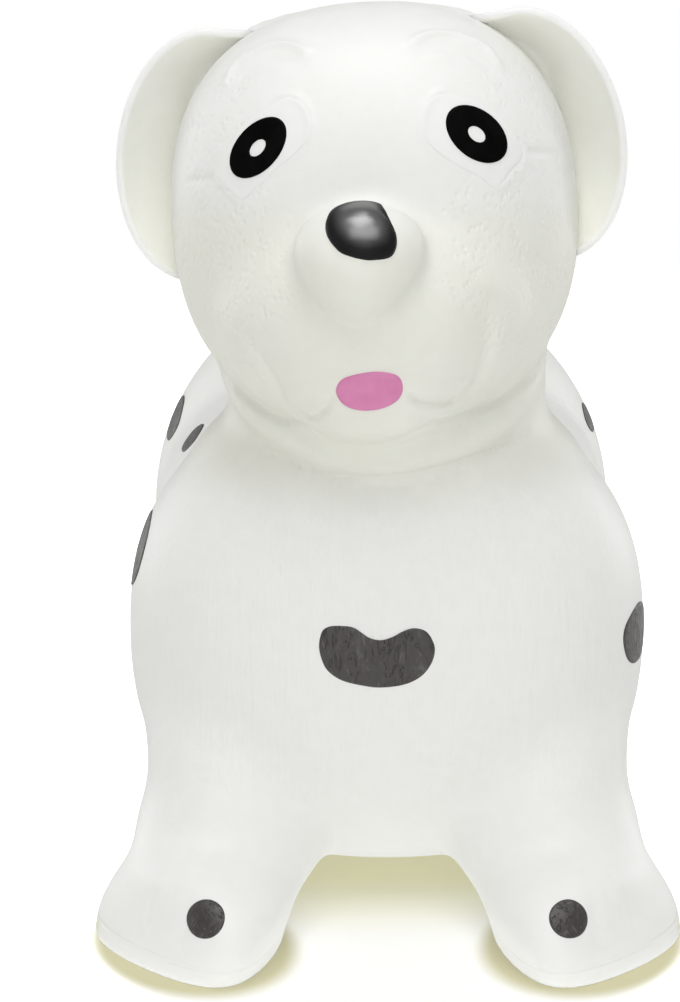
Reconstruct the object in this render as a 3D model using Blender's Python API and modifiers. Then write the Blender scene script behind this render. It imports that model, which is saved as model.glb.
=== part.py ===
"""Inflatable puppy hopper: a hollow cast-vinyl skin with flexing ear grips, a push-in air plug
in the belly, and painted pads for the eyes, nose, tongue and coat spots.

The puppy stands on z = 0 and faces -Y, with its left side at +X. All sizes are in metres.
"""

import math

import bmesh
import bpy
from mathutils import Matrix, Vector
from mathutils.bvhtree import BVHTree

# Overall
CROWN_HEIGHT = 0.498       # floor to the top of the head
STANCE_WIDTH = 0.305       # across the front paws

# Skin
WALL = 0.0028              # cast vinyl wall
SKIN_VOXEL = 0.005         # grain of the blended form
BLEND_PASSES = 22          # smoothing that rounds the creases between the main forms
FOLD_PASSES = 5            # smoothing once the neck fold and the snout are on, which keeps their creases
SKIN_FACES = 6300          # triangles kept on the outer skin
CHAMBER_FACES = 1700       # triangles kept on the air chamber
SEAT_GAP = 0.0003          # clearance between pieces that touch

# Torso: a barrel with a saddle dip, a deep chest and a round rump
BARREL_WIDTH = 0.282
BARREL_HEIGHT = 0.232
BARREL_LENGTH = 0.400
BARREL_Y = 0.064
BARREL_Z = 0.160
BARREL_SQUARENESS = 2.3    # 2 is an ellipsoid, more is boxier
CHEST_WIDTH = 0.291
CHEST_HEIGHT = 0.262
CHEST_DEPTH = 0.224
CHEST_Y = -0.096
CHEST_Z = 0.148
CHEST_SQUARENESS = 2.4
RUMP_RADIUS = 0.145
RUMP_Y = 0.1357
RUMP_Z = 0.168
SHOULDER_WIDTH = 0.236
SHOULDER_DEPTH = 0.196
SHOULDER_HEIGHT = 0.150
SHOULDER_Y = -0.090
SHOULDER_Z = 0.222

# Head
HEAD_WIDTH = 0.222
HEAD_DEPTH = 0.206
HEAD_HEIGHT = 0.228
HEAD_Y = -0.109
HEAD_Z = CROWN_HEIGHT - HEAD_HEIGHT / 2
HEAD_SQUARENESS = 2.4
HEAD_TILT = 4.0            # degrees that the head leans towards its own right
HEAD_TURN = 3.5            # degrees that the head turns towards its own right
MUZZLE_WIDTH = 0.172
MUZZLE_DEPTH = 0.140
MUZZLE_HEIGHT = 0.138
MUZZLE_REACH = 0.058       # in front of the head's middle, to the muzzle's own middle
MUZZLE_DROP = 0.042        # below the head's middle
SNOUT_RADIUS = 0.033
SNOUT_HEIGHT = 0.058
SNOUT_X = -0.0025          # the snout and nose point a little to the puppy's right
SNOUT_REACH = 0.119
SNOUT_DROP = 0.014
CHIN_WIDTH = 0.100
CHIN_DEPTH = 0.080
CHIN_HEIGHT = 0.056
CHIN_REACH = 0.080
CHIN_DROP = 0.086

# Neck, leaning forward from the shoulders to the head, with a fold round its foot
NECK_TILT = 27.0           # degrees, front edge down
NECK_WIDTH = 0.178
NECK_DEPTH = 0.178
NECK_HEIGHT = HEAD_Z - SHOULDER_Z
NECK_SINK = 0.013          # the neck's middle, below half-way from the shoulders to the head
NECK_Y = -0.098
NECK_Z = (HEAD_Z + SHOULDER_Z) / 2 - NECK_SINK
FOLD_RADIUS = 0.016
FOLD_WIDTH = 0.188
FOLD_DEPTH = 0.208
FOLD_FORWARD = 0.006       # in front of the neck's middle
FOLD_RISE = 0.018          # above the neck's middle

# Legs and paws
LEG_RADIUS = 0.052
ANKLE_RADIUS = 0.048
PAW_WIDTH = 0.105
PAW_LENGTH = 0.152
PAW_HEIGHT = 0.084
PAW_Z = 0.013              # the paw's widest height: the floor cuts it flat below
PAW_SQUARENESS = 2.0
PAW_TAPER = 0.40           # share by which the toes are narrower than the heel
FRONT_PAW_X = (STANCE_WIDTH - PAW_WIDTH) / 2
FRONT_PAW_Y = -0.210
FRONT_PAW_SPLAY = -14.0    # degrees that the toes turn outwards
HIND_PAW_X = 0.099
HIND_PAW_Y = 0.131
HIND_PAW_SPLAY = 8.0
FRONT_LEG_X = 0.084        # at the shoulder
FRONT_LEG_Z = 0.120
FRONT_LEG_FORWARD = 0.030  # in front of the chest's middle
ANKLE_X = 0.087
ANKLE_Z = 0.046
ANKLE_SETBACK = 0.041      # behind the paw's middle
THIGH_LENGTH = 0.170
THIGH_HEIGHT = 0.176
THIGH_THICKNESS = 0.100
THIGH_X = 0.088
THIGH_Z = 0.118
THIGH_SETBACK = 0.020      # behind the hind paw's middle

# Tail
TAIL_RADIUS = 0.023
TAIL_TIP_RADIUS = 0.016
TAIL_LENGTH = 0.052
TAIL_RISE = 42.0           # degrees above level

# Ears: cupped leaves open to the front, each on a round bead along the side of the crown
EAR_X = 0.092              # middle of the rim, from the head's middle
EAR_Z = 0.036
EAR_WIDTH = 0.096
EAR_HEIGHT = 0.142
EAR_LEAN = 10.0            # degrees that the rim's top leans inwards
EAR_RIM_Y = -0.012         # the front rim, from the head's middle
EAR_DEPTH = 0.044          # from the front rim to the back edge
EAR_CURL = 0.66            # share of the rim's reach that the back edge is drawn in
EAR_ROOT_CURL = 0.35       # how much of that curl there is at the bead
EAR_CURL_TURN = 52.0       # degrees from the bead at which the curl is full
EAR_THICKNESS = 0.008
EAR_FIRST = 104.0          # degrees round the rim, from the bead over the top and down to the lobe
EAR_LAST = -78.0
EAR_GAP = 0.004            # clear of the head
BEAD_RADIUS = 0.0070
BEAD_LENGTH = 0.036
BEAD_X = 0.0755
BEAD_Y = 0.006
BEAD_Z = 0.0915
BEAD_SLOPE = 6.0           # degrees that the bead falls towards the back

# Air plug, in a sleeve turned into the belly
PLUG_Y = 0.015
PLUG_RADIUS = 0.0080
PLUG_LENGTH = 0.020
PLUG_TIP_RADIUS = 0.0064
PLUG_TIP_LENGTH = 0.0030
PLUG_FLANGE_RADIUS = 0.0125
PLUG_FLANGE = 0.0026
PLUG_EDGE = 0.0011         # the flange's bevelled edge
PLUG_KNOB_RADIUS = 0.0046  # the grip below the flange
PLUG_KNOB = 0.0026
SLEEVE_WALL = 0.0032
SLEEVE_LENGTH = 0.015

# Painted pads
PAD_LIFT = 0.0008          # clear of the skin
PAD_THICKNESS = 0.0010
PAD_STACK = 0.0005         # clear of the pad beneath
PAD_REACH = 0.060          # how far outside the skin a pad is laid from

# Face, from the head's middle
EYE_SHIFT = 0.0035         # the eyes' middle, towards the puppy's left
EYE_Z = 0.0485
EYE_TURN = 52.0            # degrees that each eye's outer end droops
EYE_WHITE_X = 0.0480
EYE_WHITE_LENGTH = 0.066
EYE_WHITE_WIDTH = 0.041
EYE_TAPER = 0.45           # how far the outer end narrows
PUPIL_X = 0.0560
PUPIL_LENGTH = 0.0355
PUPIL_WIDTH = 0.0265
GLINT = 0.24               # share of the pupil that is left open for the white glint
NOSE_RISE = 0.0170         # above the snout's middle
NOSE_WIDTH = 0.0340
NOSE_HEIGHT = 0.0285
NOSE_THICKNESS = 0.0018
NOSE_LIFT = 0.0014
TONGUE_X = -0.0023
TONGUE_Z = -0.0770
TONGUE_WIDTH = 0.0360
TONGUE_HEIGHT = 0.0205

# Coat spots
CHEST_SPOT_X = -0.0064
CHEST_SPOT_Z = 0.1665
CHEST_SPOT_WIDTH = 0.062
CHEST_SPOT_HEIGHT = 0.0280
CHEST_SPOT_SAG = 0.0095    # how far its middle hangs below its ends, which makes it a kidney
CHEST_SPOT_PLUMP = 0.5     # how much its ends swell
SAG_WIDTH = 0.6            # share of the half-length that sags
PAW_SPOT = 0.0210
PAW_SPOT_X = 0.0950
PAW_SPOT_Z = 0.0420
SMALL_SPOT = 0.026
MIDDLE_SPOT = 0.036
LARGE_SPOT = 0.044
SPOT_ASPECT = 0.78         # a flank spot's height as a share of its length
SHOULDER_SPOT_Y = 0.021
FLANK_SPOT_Y = -0.110      # on the ribs, above the front leg
BACK_SPOT_Y = 0.115
RUMP_SPOT_X = 0.035
RUMP_SPOT_Z = 0.170

HEAD_MIDDLE = Vector((0.0, HEAD_Y, HEAD_Z))
NECK_MIDDLE = Vector((0.0, NECK_Y, NECK_Z))
SIDES = {"left": 1.0, "right": -1.0}

VINYL_WHITE = (0.80, 0.80, 0.76, 1.0)
EYE_WHITE = (0.90, 0.90, 0.90, 1.0)
COAT_BLACK = (0.030, 0.026, 0.024, 1.0)
GLOSS_BLACK = (0.010, 0.010, 0.012, 1.0)
TONGUE_PINK = (0.68, 0.25, 0.45, 1.0)


def turned(degrees, axis):
    """A turn about one of the frame's axes."""
    return Matrix.Rotation(math.radians(degrees), 4, axis)


def head_frame():
    """The head's own frame: its middle is the origin, and it leans and turns about the neck."""
    pose = turned(-HEAD_TURN, "Z") @ turned(-HEAD_TILT, "Y")
    return Matrix.Translation(NECK_MIDDLE) @ pose @ Matrix.Translation(HEAD_MIDDLE - NECK_MIDDLE)


def blob(middle, size, squareness=2.0, pose=None, taper=0.0):
    """A rounded lump of that width, depth and height. Squareness makes it boxier, and taper narrows its front."""
    bm = bmesh.new()
    bmesh.ops.create_uvsphere(bm, u_segments=40, v_segments=24, radius=1.0)
    for vert in bm.verts:
        vert.co /= sum(abs(c) ** squareness for c in vert.co) ** (1.0 / squareness)
        vert.co.x *= 1.0 + taper * vert.co.y
    half = Matrix.Diagonal((size[0] / 2, size[1] / 2, size[2] / 2, 1.0))
    bm.transform(Matrix.Translation(middle) @ (pose or Matrix.Identity(4)) @ half)
    return bm


def ball(middle, radius):
    return blob(middle, (2 * radius,) * 3)


def limb(start, end, start_radius, end_radius):
    """A tapering limb with round ends, as its lumps."""
    start, end = Vector(start), Vector(end)
    along = end - start
    shaft = bmesh.new()
    bmesh.ops.create_cone(shaft, cap_ends=True, segments=40, radius1=start_radius, radius2=end_radius,
                          depth=along.length)
    pose = along.to_track_quat("Z", "Y").to_matrix().to_4x4()
    shaft.transform(Matrix.Translation((start + end) / 2) @ pose)
    return [ball(start, start_radius), shaft, ball(end, end_radius)]


def roll(width, depth, radius, place):
    """A fold round the neck: a torus drawn to an oval."""
    bm = bmesh.new()
    ring = bmesh.ops.create_circle(bm, segments=16, radius=radius)["verts"]
    bm.transform(Matrix.Translation((1.0, 0.0, 0.0)) @ turned(90, "X"))
    bmesh.ops.spin(bm, geom=ring + bm.edges[:], axis=(0, 0, 1), cent=(0, 0, 0), steps=48,
                   angle=2 * math.pi, use_merge=True)
    for vert in bm.verts:
        out = Vector((vert.co.x, vert.co.y, 0)).normalized()
        beyond = vert.co - out
        vert.co = Vector((out.x * (width / 2 - radius), out.y * (depth / 2 - radius), 0)) + beyond
    bmesh.ops.recalc_face_normals(bm, faces=bm.faces)
    bm.transform(place)
    return bm


def torso_lumps():
    barrel = (BARREL_WIDTH, BARREL_LENGTH, BARREL_HEIGHT)
    chest = (CHEST_WIDTH, CHEST_DEPTH, CHEST_HEIGHT)
    return [
        blob((0, BARREL_Y, BARREL_Z), barrel, BARREL_SQUARENESS),
        ball((0, RUMP_Y, RUMP_Z), RUMP_RADIUS),
        blob((0, CHEST_Y, CHEST_Z), chest, CHEST_SQUARENESS),
        blob((0, SHOULDER_Y, SHOULDER_Z), (SHOULDER_WIDTH, SHOULDER_DEPTH, SHOULDER_HEIGHT)),
    ]


def neck_lump():
    return blob(NECK_MIDDLE, (NECK_WIDTH, NECK_DEPTH, NECK_HEIGHT), pose=turned(NECK_TILT, "X"))


def neck_fold():
    middle = NECK_MIDDLE + Vector((0, -FOLD_FORWARD, FOLD_RISE))
    return roll(FOLD_WIDTH, FOLD_DEPTH, FOLD_RADIUS, Matrix.Translation(middle) @ turned(NECK_TILT, "X"))


def head_lumps():
    frame = head_frame()
    lean = frame.to_3x3().to_4x4()
    muzzle = (MUZZLE_WIDTH, MUZZLE_DEPTH, MUZZLE_HEIGHT)
    chin = (CHIN_WIDTH, CHIN_DEPTH, CHIN_HEIGHT)
    return [
        blob(frame.translation, (HEAD_WIDTH, HEAD_DEPTH, HEAD_HEIGHT), HEAD_SQUARENESS, lean),
        blob(frame @ Vector((0, -MUZZLE_REACH, -MUZZLE_DROP)), muzzle, pose=lean),
        blob(frame @ Vector((0, -CHIN_REACH, -CHIN_DROP)), chin, pose=lean),
    ]


def snout():
    frame = head_frame()
    size = (2 * SNOUT_RADIUS, 2 * SNOUT_RADIUS, SNOUT_HEIGHT)
    return blob(frame @ Vector((SNOUT_X, -SNOUT_REACH, -SNOUT_DROP)), size, pose=frame.to_3x3().to_4x4())


def leg_lumps():
    paw = (PAW_WIDTH, PAW_LENGTH, PAW_HEIGHT)
    lumps = []
    for side in SIDES.values():
        shoulder = (side * FRONT_LEG_X, CHEST_Y - FRONT_LEG_FORWARD, FRONT_LEG_Z)
        ankle = (side * ANKLE_X, FRONT_PAW_Y + ANKLE_SETBACK, ANKLE_Z)
        lumps += limb(shoulder, ankle, LEG_RADIUS, ANKLE_RADIUS)
        front_paw = (side * FRONT_PAW_X, FRONT_PAW_Y, PAW_Z)
        lumps.append(blob(front_paw, paw, PAW_SQUARENESS, turned(side * FRONT_PAW_SPLAY, "Z"), PAW_TAPER))
        thigh = (side * THIGH_X, HIND_PAW_Y + THIGH_SETBACK, THIGH_Z)
        lumps.append(blob(thigh, (THIGH_THICKNESS, THIGH_LENGTH, THIGH_HEIGHT)))
        hind_paw = (side * HIND_PAW_X, HIND_PAW_Y, PAW_Z)
        lumps.append(blob(hind_paw, paw, PAW_SQUARENESS, turned(side * HIND_PAW_SPLAY, "Z"), PAW_TAPER))
    return lumps


def tail_lumps():
    away = Vector((0, math.cos(math.radians(TAIL_RISE)), math.sin(math.radians(TAIL_RISE))))
    root = Vector((0, RUMP_Y, RUMP_Z)) + away * (RUMP_RADIUS - TAIL_RADIUS)
    return limb(root, root + away * TAIL_LENGTH, TAIL_RADIUS, TAIL_TIP_RADIUS)


def joined(lumps, name):
    """One mesh that holds all the lumps, which may overlap."""
    bm = bmesh.new()
    for lump in lumps:
        mesh = bpy.data.meshes.new("lump")
        lump.to_mesh(mesh)
        lump.free()
        bm.from_mesh(mesh)
        bpy.data.meshes.remove(mesh)
    mesh = bpy.data.meshes.new(name)
    bm.to_mesh(mesh)
    bm.free()
    return mesh


def settled(thing):
    """The object's mesh with its modifiers applied, left as its plain mesh."""
    bpy.context.view_layer.update()
    graph = bpy.context.evaluated_depsgraph_get()
    mesh = bpy.data.meshes.new_from_object(thing.evaluated_get(graph))
    thing.modifiers.clear()
    thing.data = mesh
    return thing


def add(name, mesh, collection):
    thing = bpy.data.objects.new(name, mesh)
    collection.objects.link(thing)
    return thing


def as_cutter(thing):
    thing.hide_render = True
    thing.display_type = "WIRE"
    return thing


def cut(thing, other, operation="DIFFERENCE"):
    modifier = thing.modifiers.new(other.name, "BOOLEAN")
    modifier.object = other
    modifier.operation = operation


def trimmed(thing, height):
    """Cuts the object flat at that height and closes it."""
    bm = bmesh.new()
    bm.from_mesh(thing.data)
    bmesh.ops.bisect_plane(bm, geom=bm.verts[:] + bm.edges[:] + bm.faces[:], plane_co=(0, 0, height),
                           plane_no=(0, 0, -1), clear_outer=True)
    bmesh.ops.holes_fill(bm, edges=[edge for edge in bm.edges if edge.is_boundary])
    bmesh.ops.triangulate(bm, faces=[face for face in bm.faces if len(face.verts) > 4])
    bm.to_mesh(thing.data)
    bm.free()


def reduced(thing, triangles):
    modifier = thing.modifiers.new("reduce", "DECIMATE")
    modifier.use_collapse_triangulate = True
    modifier.ratio = triangles / sum(len(face.vertices) - 2 for face in thing.data.polygons)
    return settled(thing)


def blended(form, passes):
    """The lumps of the form fused into one closed skin, with that much smoothing."""
    remesh = form.modifiers.new("blend", "REMESH")
    remesh.mode = "VOXEL"
    remesh.voxel_size = SKIN_VOXEL
    smooth = form.modifiers.new("round", "SMOOTH")
    smooth.factor = 0.5
    smooth.iterations = passes
    return settled(form)


def whole_form(collection):
    """All the lumps as one skin, with the neck fold and snout laid on last so that their creases stay."""
    lumps = torso_lumps() + [neck_lump()] + head_lumps() + leg_lumps() + tail_lumps()
    form = blended(add("form", joined(lumps, "form"), collection), BLEND_PASSES)
    smooth_form = bmesh.new()
    smooth_form.from_mesh(form.data)
    form.data = joined([smooth_form, neck_fold(), snout()], "form")
    return blended(form, FOLD_PASSES)


def rod(name, radius, length, place, collection):
    """A round bar along its own Z, in its place."""
    bm = bmesh.new()
    bmesh.ops.create_cone(bm, cap_ends=True, segments=24, radius1=radius, radius2=radius, depth=length)
    mesh = bpy.data.meshes.new(name)
    bm.to_mesh(mesh)
    bm.free()
    thing = add(name, mesh, collection)
    thing.matrix_world = place
    return thing


def hinge_frame(side):
    """The ear's hinge, whose line is its Y: along the side of the crown, from front to back."""
    return head_frame() @ Matrix.Translation((side * BEAD_X, BEAD_Y, BEAD_Z)) @ turned(-BEAD_SLOPE, "X")


def bead_place(side):
    return hinge_frame(side) @ turned(90, "X")


def make_body(parts, cutters):
    form = whole_form(cutters)
    skin = add("body_skin", form.data.copy(), parts)
    reduced(skin, SKIN_FACES)
    trimmed(skin, 0.0)

    chamber = as_cutter(add("air_chamber", form.data.copy(), cutters))
    shrink = chamber.modifiers.new("wall", "DISPLACE")
    shrink.mid_level = 0.0
    shrink.strength = -WALL
    settled(chamber)
    reduced(chamber, CHAMBER_FACES)
    trimmed(chamber, WALL)
    bpy.data.objects.remove(form)

    for name, side in SIDES.items():
        groove = BEAD_RADIUS + 2 * SEAT_GAP
        place = bead_place(side)
        boss = rod(name + "_ear_boss", groove + WALL, BEAD_LENGTH + 2 * WALL, place, cutters)
        cut(chamber, as_cutter(boss))
        seat = rod(name + "_ear_groove", groove, BEAD_LENGTH + 2 * SEAT_GAP, place, cutters)
        cut(skin, as_cutter(seat))
    return skin, chamber


def surface_of(thing):
    """The finished surface, for laying other pieces on it."""
    bpy.context.view_layer.update()
    return BVHTree.FromObject(thing, bpy.context.evaluated_depsgraph_get())


def ear_point(side, degrees, share):
    """A point of the cupped leaf, in the head's frame: round the rim, and back from it by a share."""
    angle = math.radians(degrees)
    from_axis = math.radians(degrees - EAR_LEAN)
    reach = 1.0 / math.hypot(math.cos(from_axis) / (EAR_WIDTH / 2), math.sin(from_axis) / (EAR_HEIGHT / 2))
    past_bead = (EAR_FIRST - degrees) / EAR_CURL_TURN
    drawn = min(1.0, EAR_ROOT_CURL + (1.0 - EAR_ROOT_CURL) * past_bead)
    reach *= 1.0 - EAR_CURL * drawn * share ** 2
    return Vector((side * (EAR_X + reach * math.cos(angle)), EAR_RIM_Y + EAR_DEPTH * share,
                   EAR_Z + reach * math.sin(angle)))


def make_ear(name, side, parts, cutters):
    """The leaf, cut clear of the head and joined to its bead, with its origin on the bead's line."""
    bm = bmesh.new()
    bmesh.ops.create_grid(bm, x_segments=14, y_segments=4, size=1.0)
    to_hinge = hinge_frame(side).inverted() @ head_frame()
    for vert in bm.verts:
        along = (vert.co.x + 1) / 2
        degrees = EAR_FIRST + (EAR_LAST - EAR_FIRST) * along
        vert.co = to_hinge @ ear_point(side, degrees, (vert.co.y + 1) / 2)
    if side < 0:
        bmesh.ops.reverse_faces(bm, faces=bm.faces)
    mesh = bpy.data.meshes.new(name)
    bm.to_mesh(mesh)
    bm.free()
    ear = add(name, mesh, parts)
    ear.matrix_world = hinge_frame(side)
    solid = ear.modifiers.new("thickness", "SOLIDIFY")
    solid.thickness = EAR_THICKNESS
    solid.offset = -1.0
    soften = ear.modifiers.new("soften", "SUBSURF")
    soften.levels = 1
    soften.render_levels = 1

    clear = bpy.data.meshes.new(name + "_clearance")
    size = [across + 2 * EAR_GAP for across in (HEAD_WIDTH, HEAD_DEPTH, HEAD_HEIGHT)]
    room = blob((0, 0, 0), size, HEAD_SQUARENESS)
    room.to_mesh(clear)
    room.free()
    head_room = as_cutter(add(name + "_clearance", clear, cutters))
    head_room.matrix_world = head_frame()
    cut(ear, head_room)
    cut(ear, as_cutter(rod(name + "_bead", BEAD_RADIUS, BEAD_LENGTH, bead_place(side), cutters)), "UNION")
    return ear


def make_plug(skin, chamber, parts, cutters):
    """The air plug, pushed up into a sleeve that is turned into the belly."""
    belly = surface_of(skin)
    footprint = [(0, PLUG_Y)] + [(PLUG_FLANGE_RADIUS * math.cos(a), PLUG_Y + PLUG_FLANGE_RADIUS * math.sin(a))
                                 for a in (math.tau * i / 12 for i in range(12))]
    seat = min(belly.ray_cast((x, y, 0), (0, 0, 1))[0].z for x, y in footprint)

    bore = PLUG_RADIUS + SEAT_GAP
    sleeve_middle = Matrix.Translation((0, PLUG_Y, seat + SLEEVE_LENGTH / 2))
    sleeve = rod("sleeve", bore + SLEEVE_WALL, SLEEVE_LENGTH, sleeve_middle, cutters)
    cut(chamber, as_cutter(sleeve))
    cut(skin, chamber)
    cut(skin, as_cutter(rod("plug_bore", bore, 3 * SLEEVE_LENGTH, sleeve_middle, cutters)))

    stem = [(0, PLUG_LENGTH), (PLUG_TIP_RADIUS, PLUG_LENGTH),
            (PLUG_RADIUS, PLUG_LENGTH - PLUG_TIP_LENGTH), (PLUG_RADIUS, 0)]
    flange = [(PLUG_FLANGE_RADIUS, 0), (PLUG_FLANGE_RADIUS, PLUG_EDGE - PLUG_FLANGE),
              (PLUG_FLANGE_RADIUS - PLUG_EDGE, -PLUG_FLANGE)]
    knob = [(PLUG_KNOB_RADIUS, -PLUG_FLANGE), (PLUG_KNOB_RADIUS, -PLUG_FLANGE - PLUG_KNOB),
            (0, -PLUG_FLANGE - PLUG_KNOB)]
    profile = stem + flange + knob
    mesh = bpy.data.meshes.new("air_plug")
    mesh.from_pydata([(r, 0, z) for r, z in profile], [(i, i + 1) for i in range(len(profile) - 1)], [])
    plug = add("air_plug", mesh, parts)
    plug.location = (0, PLUG_Y, seat - SEAT_GAP)
    screw = plug.modifiers.new("turn", "SCREW")
    screw.steps = 28
    screw.render_steps = 28
    screw.use_merge_vertices = True
    screw.merge_threshold = 0.00001
    return plug


def ahead(rise):
    """The way to a viewer in front who looks down by that many degrees."""
    return Vector((0, -math.cos(math.radians(rise)), math.sin(math.radians(rise))))


def disc(rings, hole):
    """A flat unit disc in rings, open in the middle by that share."""
    bm = bmesh.new()
    verts = [bm.verts.new((hole + (1 - hole) * i / rings, 0, 0)) for i in range(rings + 1)]
    edges = [bm.edges.new(pair) for pair in zip(verts, verts[1:])]
    bmesh.ops.spin(bm, geom=verts + edges, axis=(0, 0, 1), cent=(0, 0, 0), steps=24, angle=math.tau,
                   use_merge=True)
    bmesh.ops.remove_doubles(bm, verts=bm.verts, dist=0.0001)
    bmesh.ops.recalc_face_normals(bm, faces=bm.faces)
    return bm


def pad(name, skin, middle, facing, size, parts, turn=0.0, taper=0.0, sag=0.0, plump=0.0, rings=2, hole=0.0,
        lift=PAD_LIFT, thickness=PAD_THICKNESS):
    """A painted patch of that size as seen from its facing side, laid on the skin."""
    facing = facing.normalized()
    across = Vector((0, 0, 1)).cross(facing).normalized()
    place = Matrix((across, facing.cross(across), facing)).transposed()
    bm = disc(rings, hole)
    for vert in bm.verts:
        u, v = vert.co.x, vert.co.y
        swell = (1 - taper * u) * (1 + plump * u * u)
        drop = sag * math.exp(-(u / SAG_WIDTH) ** 2)
        flat = Vector((size[0] / 2 * u, size[1] / 2 * v * swell - drop, 0))
        flat.rotate(turned(turn, "Z"))
        start = Vector(middle) + place @ flat + facing * PAD_REACH
        vert.co = skin.ray_cast(start, -facing)[0]
    bm.normal_update()
    if sum((face.normal for face in bm.faces), Vector()).dot(facing) < 0:
        bmesh.ops.reverse_faces(bm, faces=bm.faces)
        bm.normal_update()
    for vert, away in [(vert, vert.normal.copy()) for vert in bm.verts]:
        vert.co += away * lift
    mesh = bpy.data.meshes.new(name)
    bm.to_mesh(mesh)
    bm.free()
    patch = add(name, mesh, parts)
    solid = patch.modifiers.new("thickness", "SOLIDIFY")
    solid.thickness = thickness
    solid.offset = 1.0
    return patch


def make_face(skin, parts):
    head = head_frame()
    for name, side in SIDES.items():
        drop = -side * EYE_TURN
        white_x = EYE_SHIFT + side * EYE_WHITE_X
        white_size = (EYE_WHITE_LENGTH, EYE_WHITE_WIDTH)
        white = head @ Vector((white_x, -HEAD_DEPTH / 2, EYE_Z))
        pad(name + "_eye_white", skin, white, ahead(6), white_size, parts, turn=drop, taper=side * EYE_TAPER,
            rings=3)
        pupil = head @ Vector((EYE_SHIFT + side * PUPIL_X, -HEAD_DEPTH / 2, EYE_Z))
        pad(name + "_pupil", skin, pupil, ahead(6), (PUPIL_LENGTH, PUPIL_WIDTH), parts, turn=drop, hole=GLINT,
            lift=PAD_LIFT + PAD_THICKNESS + PAD_STACK)
    nose = head @ Vector((SNOUT_X, -SNOUT_REACH, NOSE_RISE - SNOUT_DROP))
    pad("nose_tip", skin, nose, ahead(8), (NOSE_WIDTH, NOSE_HEIGHT), parts, rings=3, lift=NOSE_LIFT,
        thickness=NOSE_THICKNESS)
    tongue = head @ Vector((TONGUE_X, -SNOUT_REACH, TONGUE_Z))
    pad("tongue", skin, tongue, ahead(10), (TONGUE_WIDTH, TONGUE_HEIGHT), parts)


def beside(side, rise):
    """The way out from the middle of the torso to that side, so many degrees above level."""
    return Vector((side * math.cos(math.radians(rise)), 0, math.sin(math.radians(rise))))


def make_spots(skin, parts):
    chest = (CHEST_SPOT_X, CHEST_Y - CHEST_DEPTH / 2, CHEST_SPOT_Z)
    pad("chest_spot", skin, chest, ahead(15), (CHEST_SPOT_WIDTH, CHEST_SPOT_HEIGHT), parts,
        sag=CHEST_SPOT_SAG, plump=CHEST_SPOT_PLUMP)
    for name, side in SIDES.items():
        toe = (side * PAW_SPOT_X, FRONT_PAW_Y - PAW_LENGTH / 2, PAW_SPOT_Z)
        pad(name + "_paw_spot", skin, toe, ahead(20), (PAW_SPOT, PAW_SPOT), parts)
    rump = (RUMP_SPOT_X, RUMP_Y + RUMP_RADIUS, RUMP_SPOT_Z)
    pad("rump_spot", skin, rump, -ahead(0), (LARGE_SPOT, LARGE_SPOT * SPOT_ASPECT), parts)
    flanks = {
        "left_flank_spot": (FLANK_SPOT_Y, beside(SIDES["left"], -5), LARGE_SPOT, 0),
        "right_flank_spot": (FLANK_SPOT_Y, beside(SIDES["right"], 10), LARGE_SPOT, 20),
        "left_back_spot": (BACK_SPOT_Y, beside(SIDES["left"], 27), SMALL_SPOT, 10),
        "right_back_spot": (BACK_SPOT_Y, beside(SIDES["right"], 27), MIDDLE_SPOT, -15),
        "right_shoulder_spot": (SHOULDER_SPOT_Y, beside(SIDES["right"], 32), SMALL_SPOT, 0),
    }
    for name, (along, facing, length, turn) in flanks.items():
        middle = Vector((0, along, BARREL_Z)) + facing * BARREL_WIDTH / 2
        pad(name, skin, middle, facing, (length, length * SPOT_ASPECT), parts, turn=turn)


def paint(things, name, colour, roughness):
    for thing in things:
        material = bpy.data.materials.new(thing.name + "_" + name)
        material.use_nodes = True
        surface = material.node_tree.nodes["Principled BSDF"]
        surface.inputs["Base Color"].default_value = colour
        surface.inputs["Roughness"].default_value = roughness
        surface.inputs["Metallic"].default_value = 0.0
        thing.data.materials.clear()
        thing.data.materials.append(material)
        thing.data.shade_smooth()


def main():
    for old in list(bpy.data.objects):
        bpy.data.objects.remove(old)
    parts = bpy.data.collections.new("puppy_hopper")
    cutters = bpy.data.collections.new("cutters")
    for collection in (parts, cutters):
        bpy.context.scene.collection.children.link(collection)
    skin, chamber = make_body(parts, cutters)
    make_plug(skin, chamber, parts, cutters)
    for name, side in SIDES.items():
        make_ear(name + "_ear", side, parts, cutters)
    surface = surface_of(skin)
    make_face(surface, parts)
    make_spots(surface, parts)

    pieces = parts.objects
    vinyl = ("body_skin", "left_ear", "right_ear", "air_plug")
    paint([pieces[name] for name in vinyl], "vinyl", VINYL_WHITE, 0.45)
    paint([piece for piece in pieces if piece.name.endswith("_eye_white")], "white", EYE_WHITE, 0.4)
    paint([piece for piece in pieces if piece.name.endswith("_pupil")], "black", GLOSS_BLACK, 0.25)
    paint([piece for piece in pieces if piece.name.endswith("_spot")], "coat", COAT_BLACK, 0.55)
    paint([pieces["nose_tip"]], "gloss", GLOSS_BLACK, 0.2)
    paint([pieces["tongue"]], "pink", TONGUE_PINK, 0.4)


main()
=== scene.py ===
import math

import bmesh
import bpy
import numpy as np
from mathutils import Matrix, Vector
from mathutils.bvhtree import BVHTree
from mathutils.kdtree import KDTree


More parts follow.
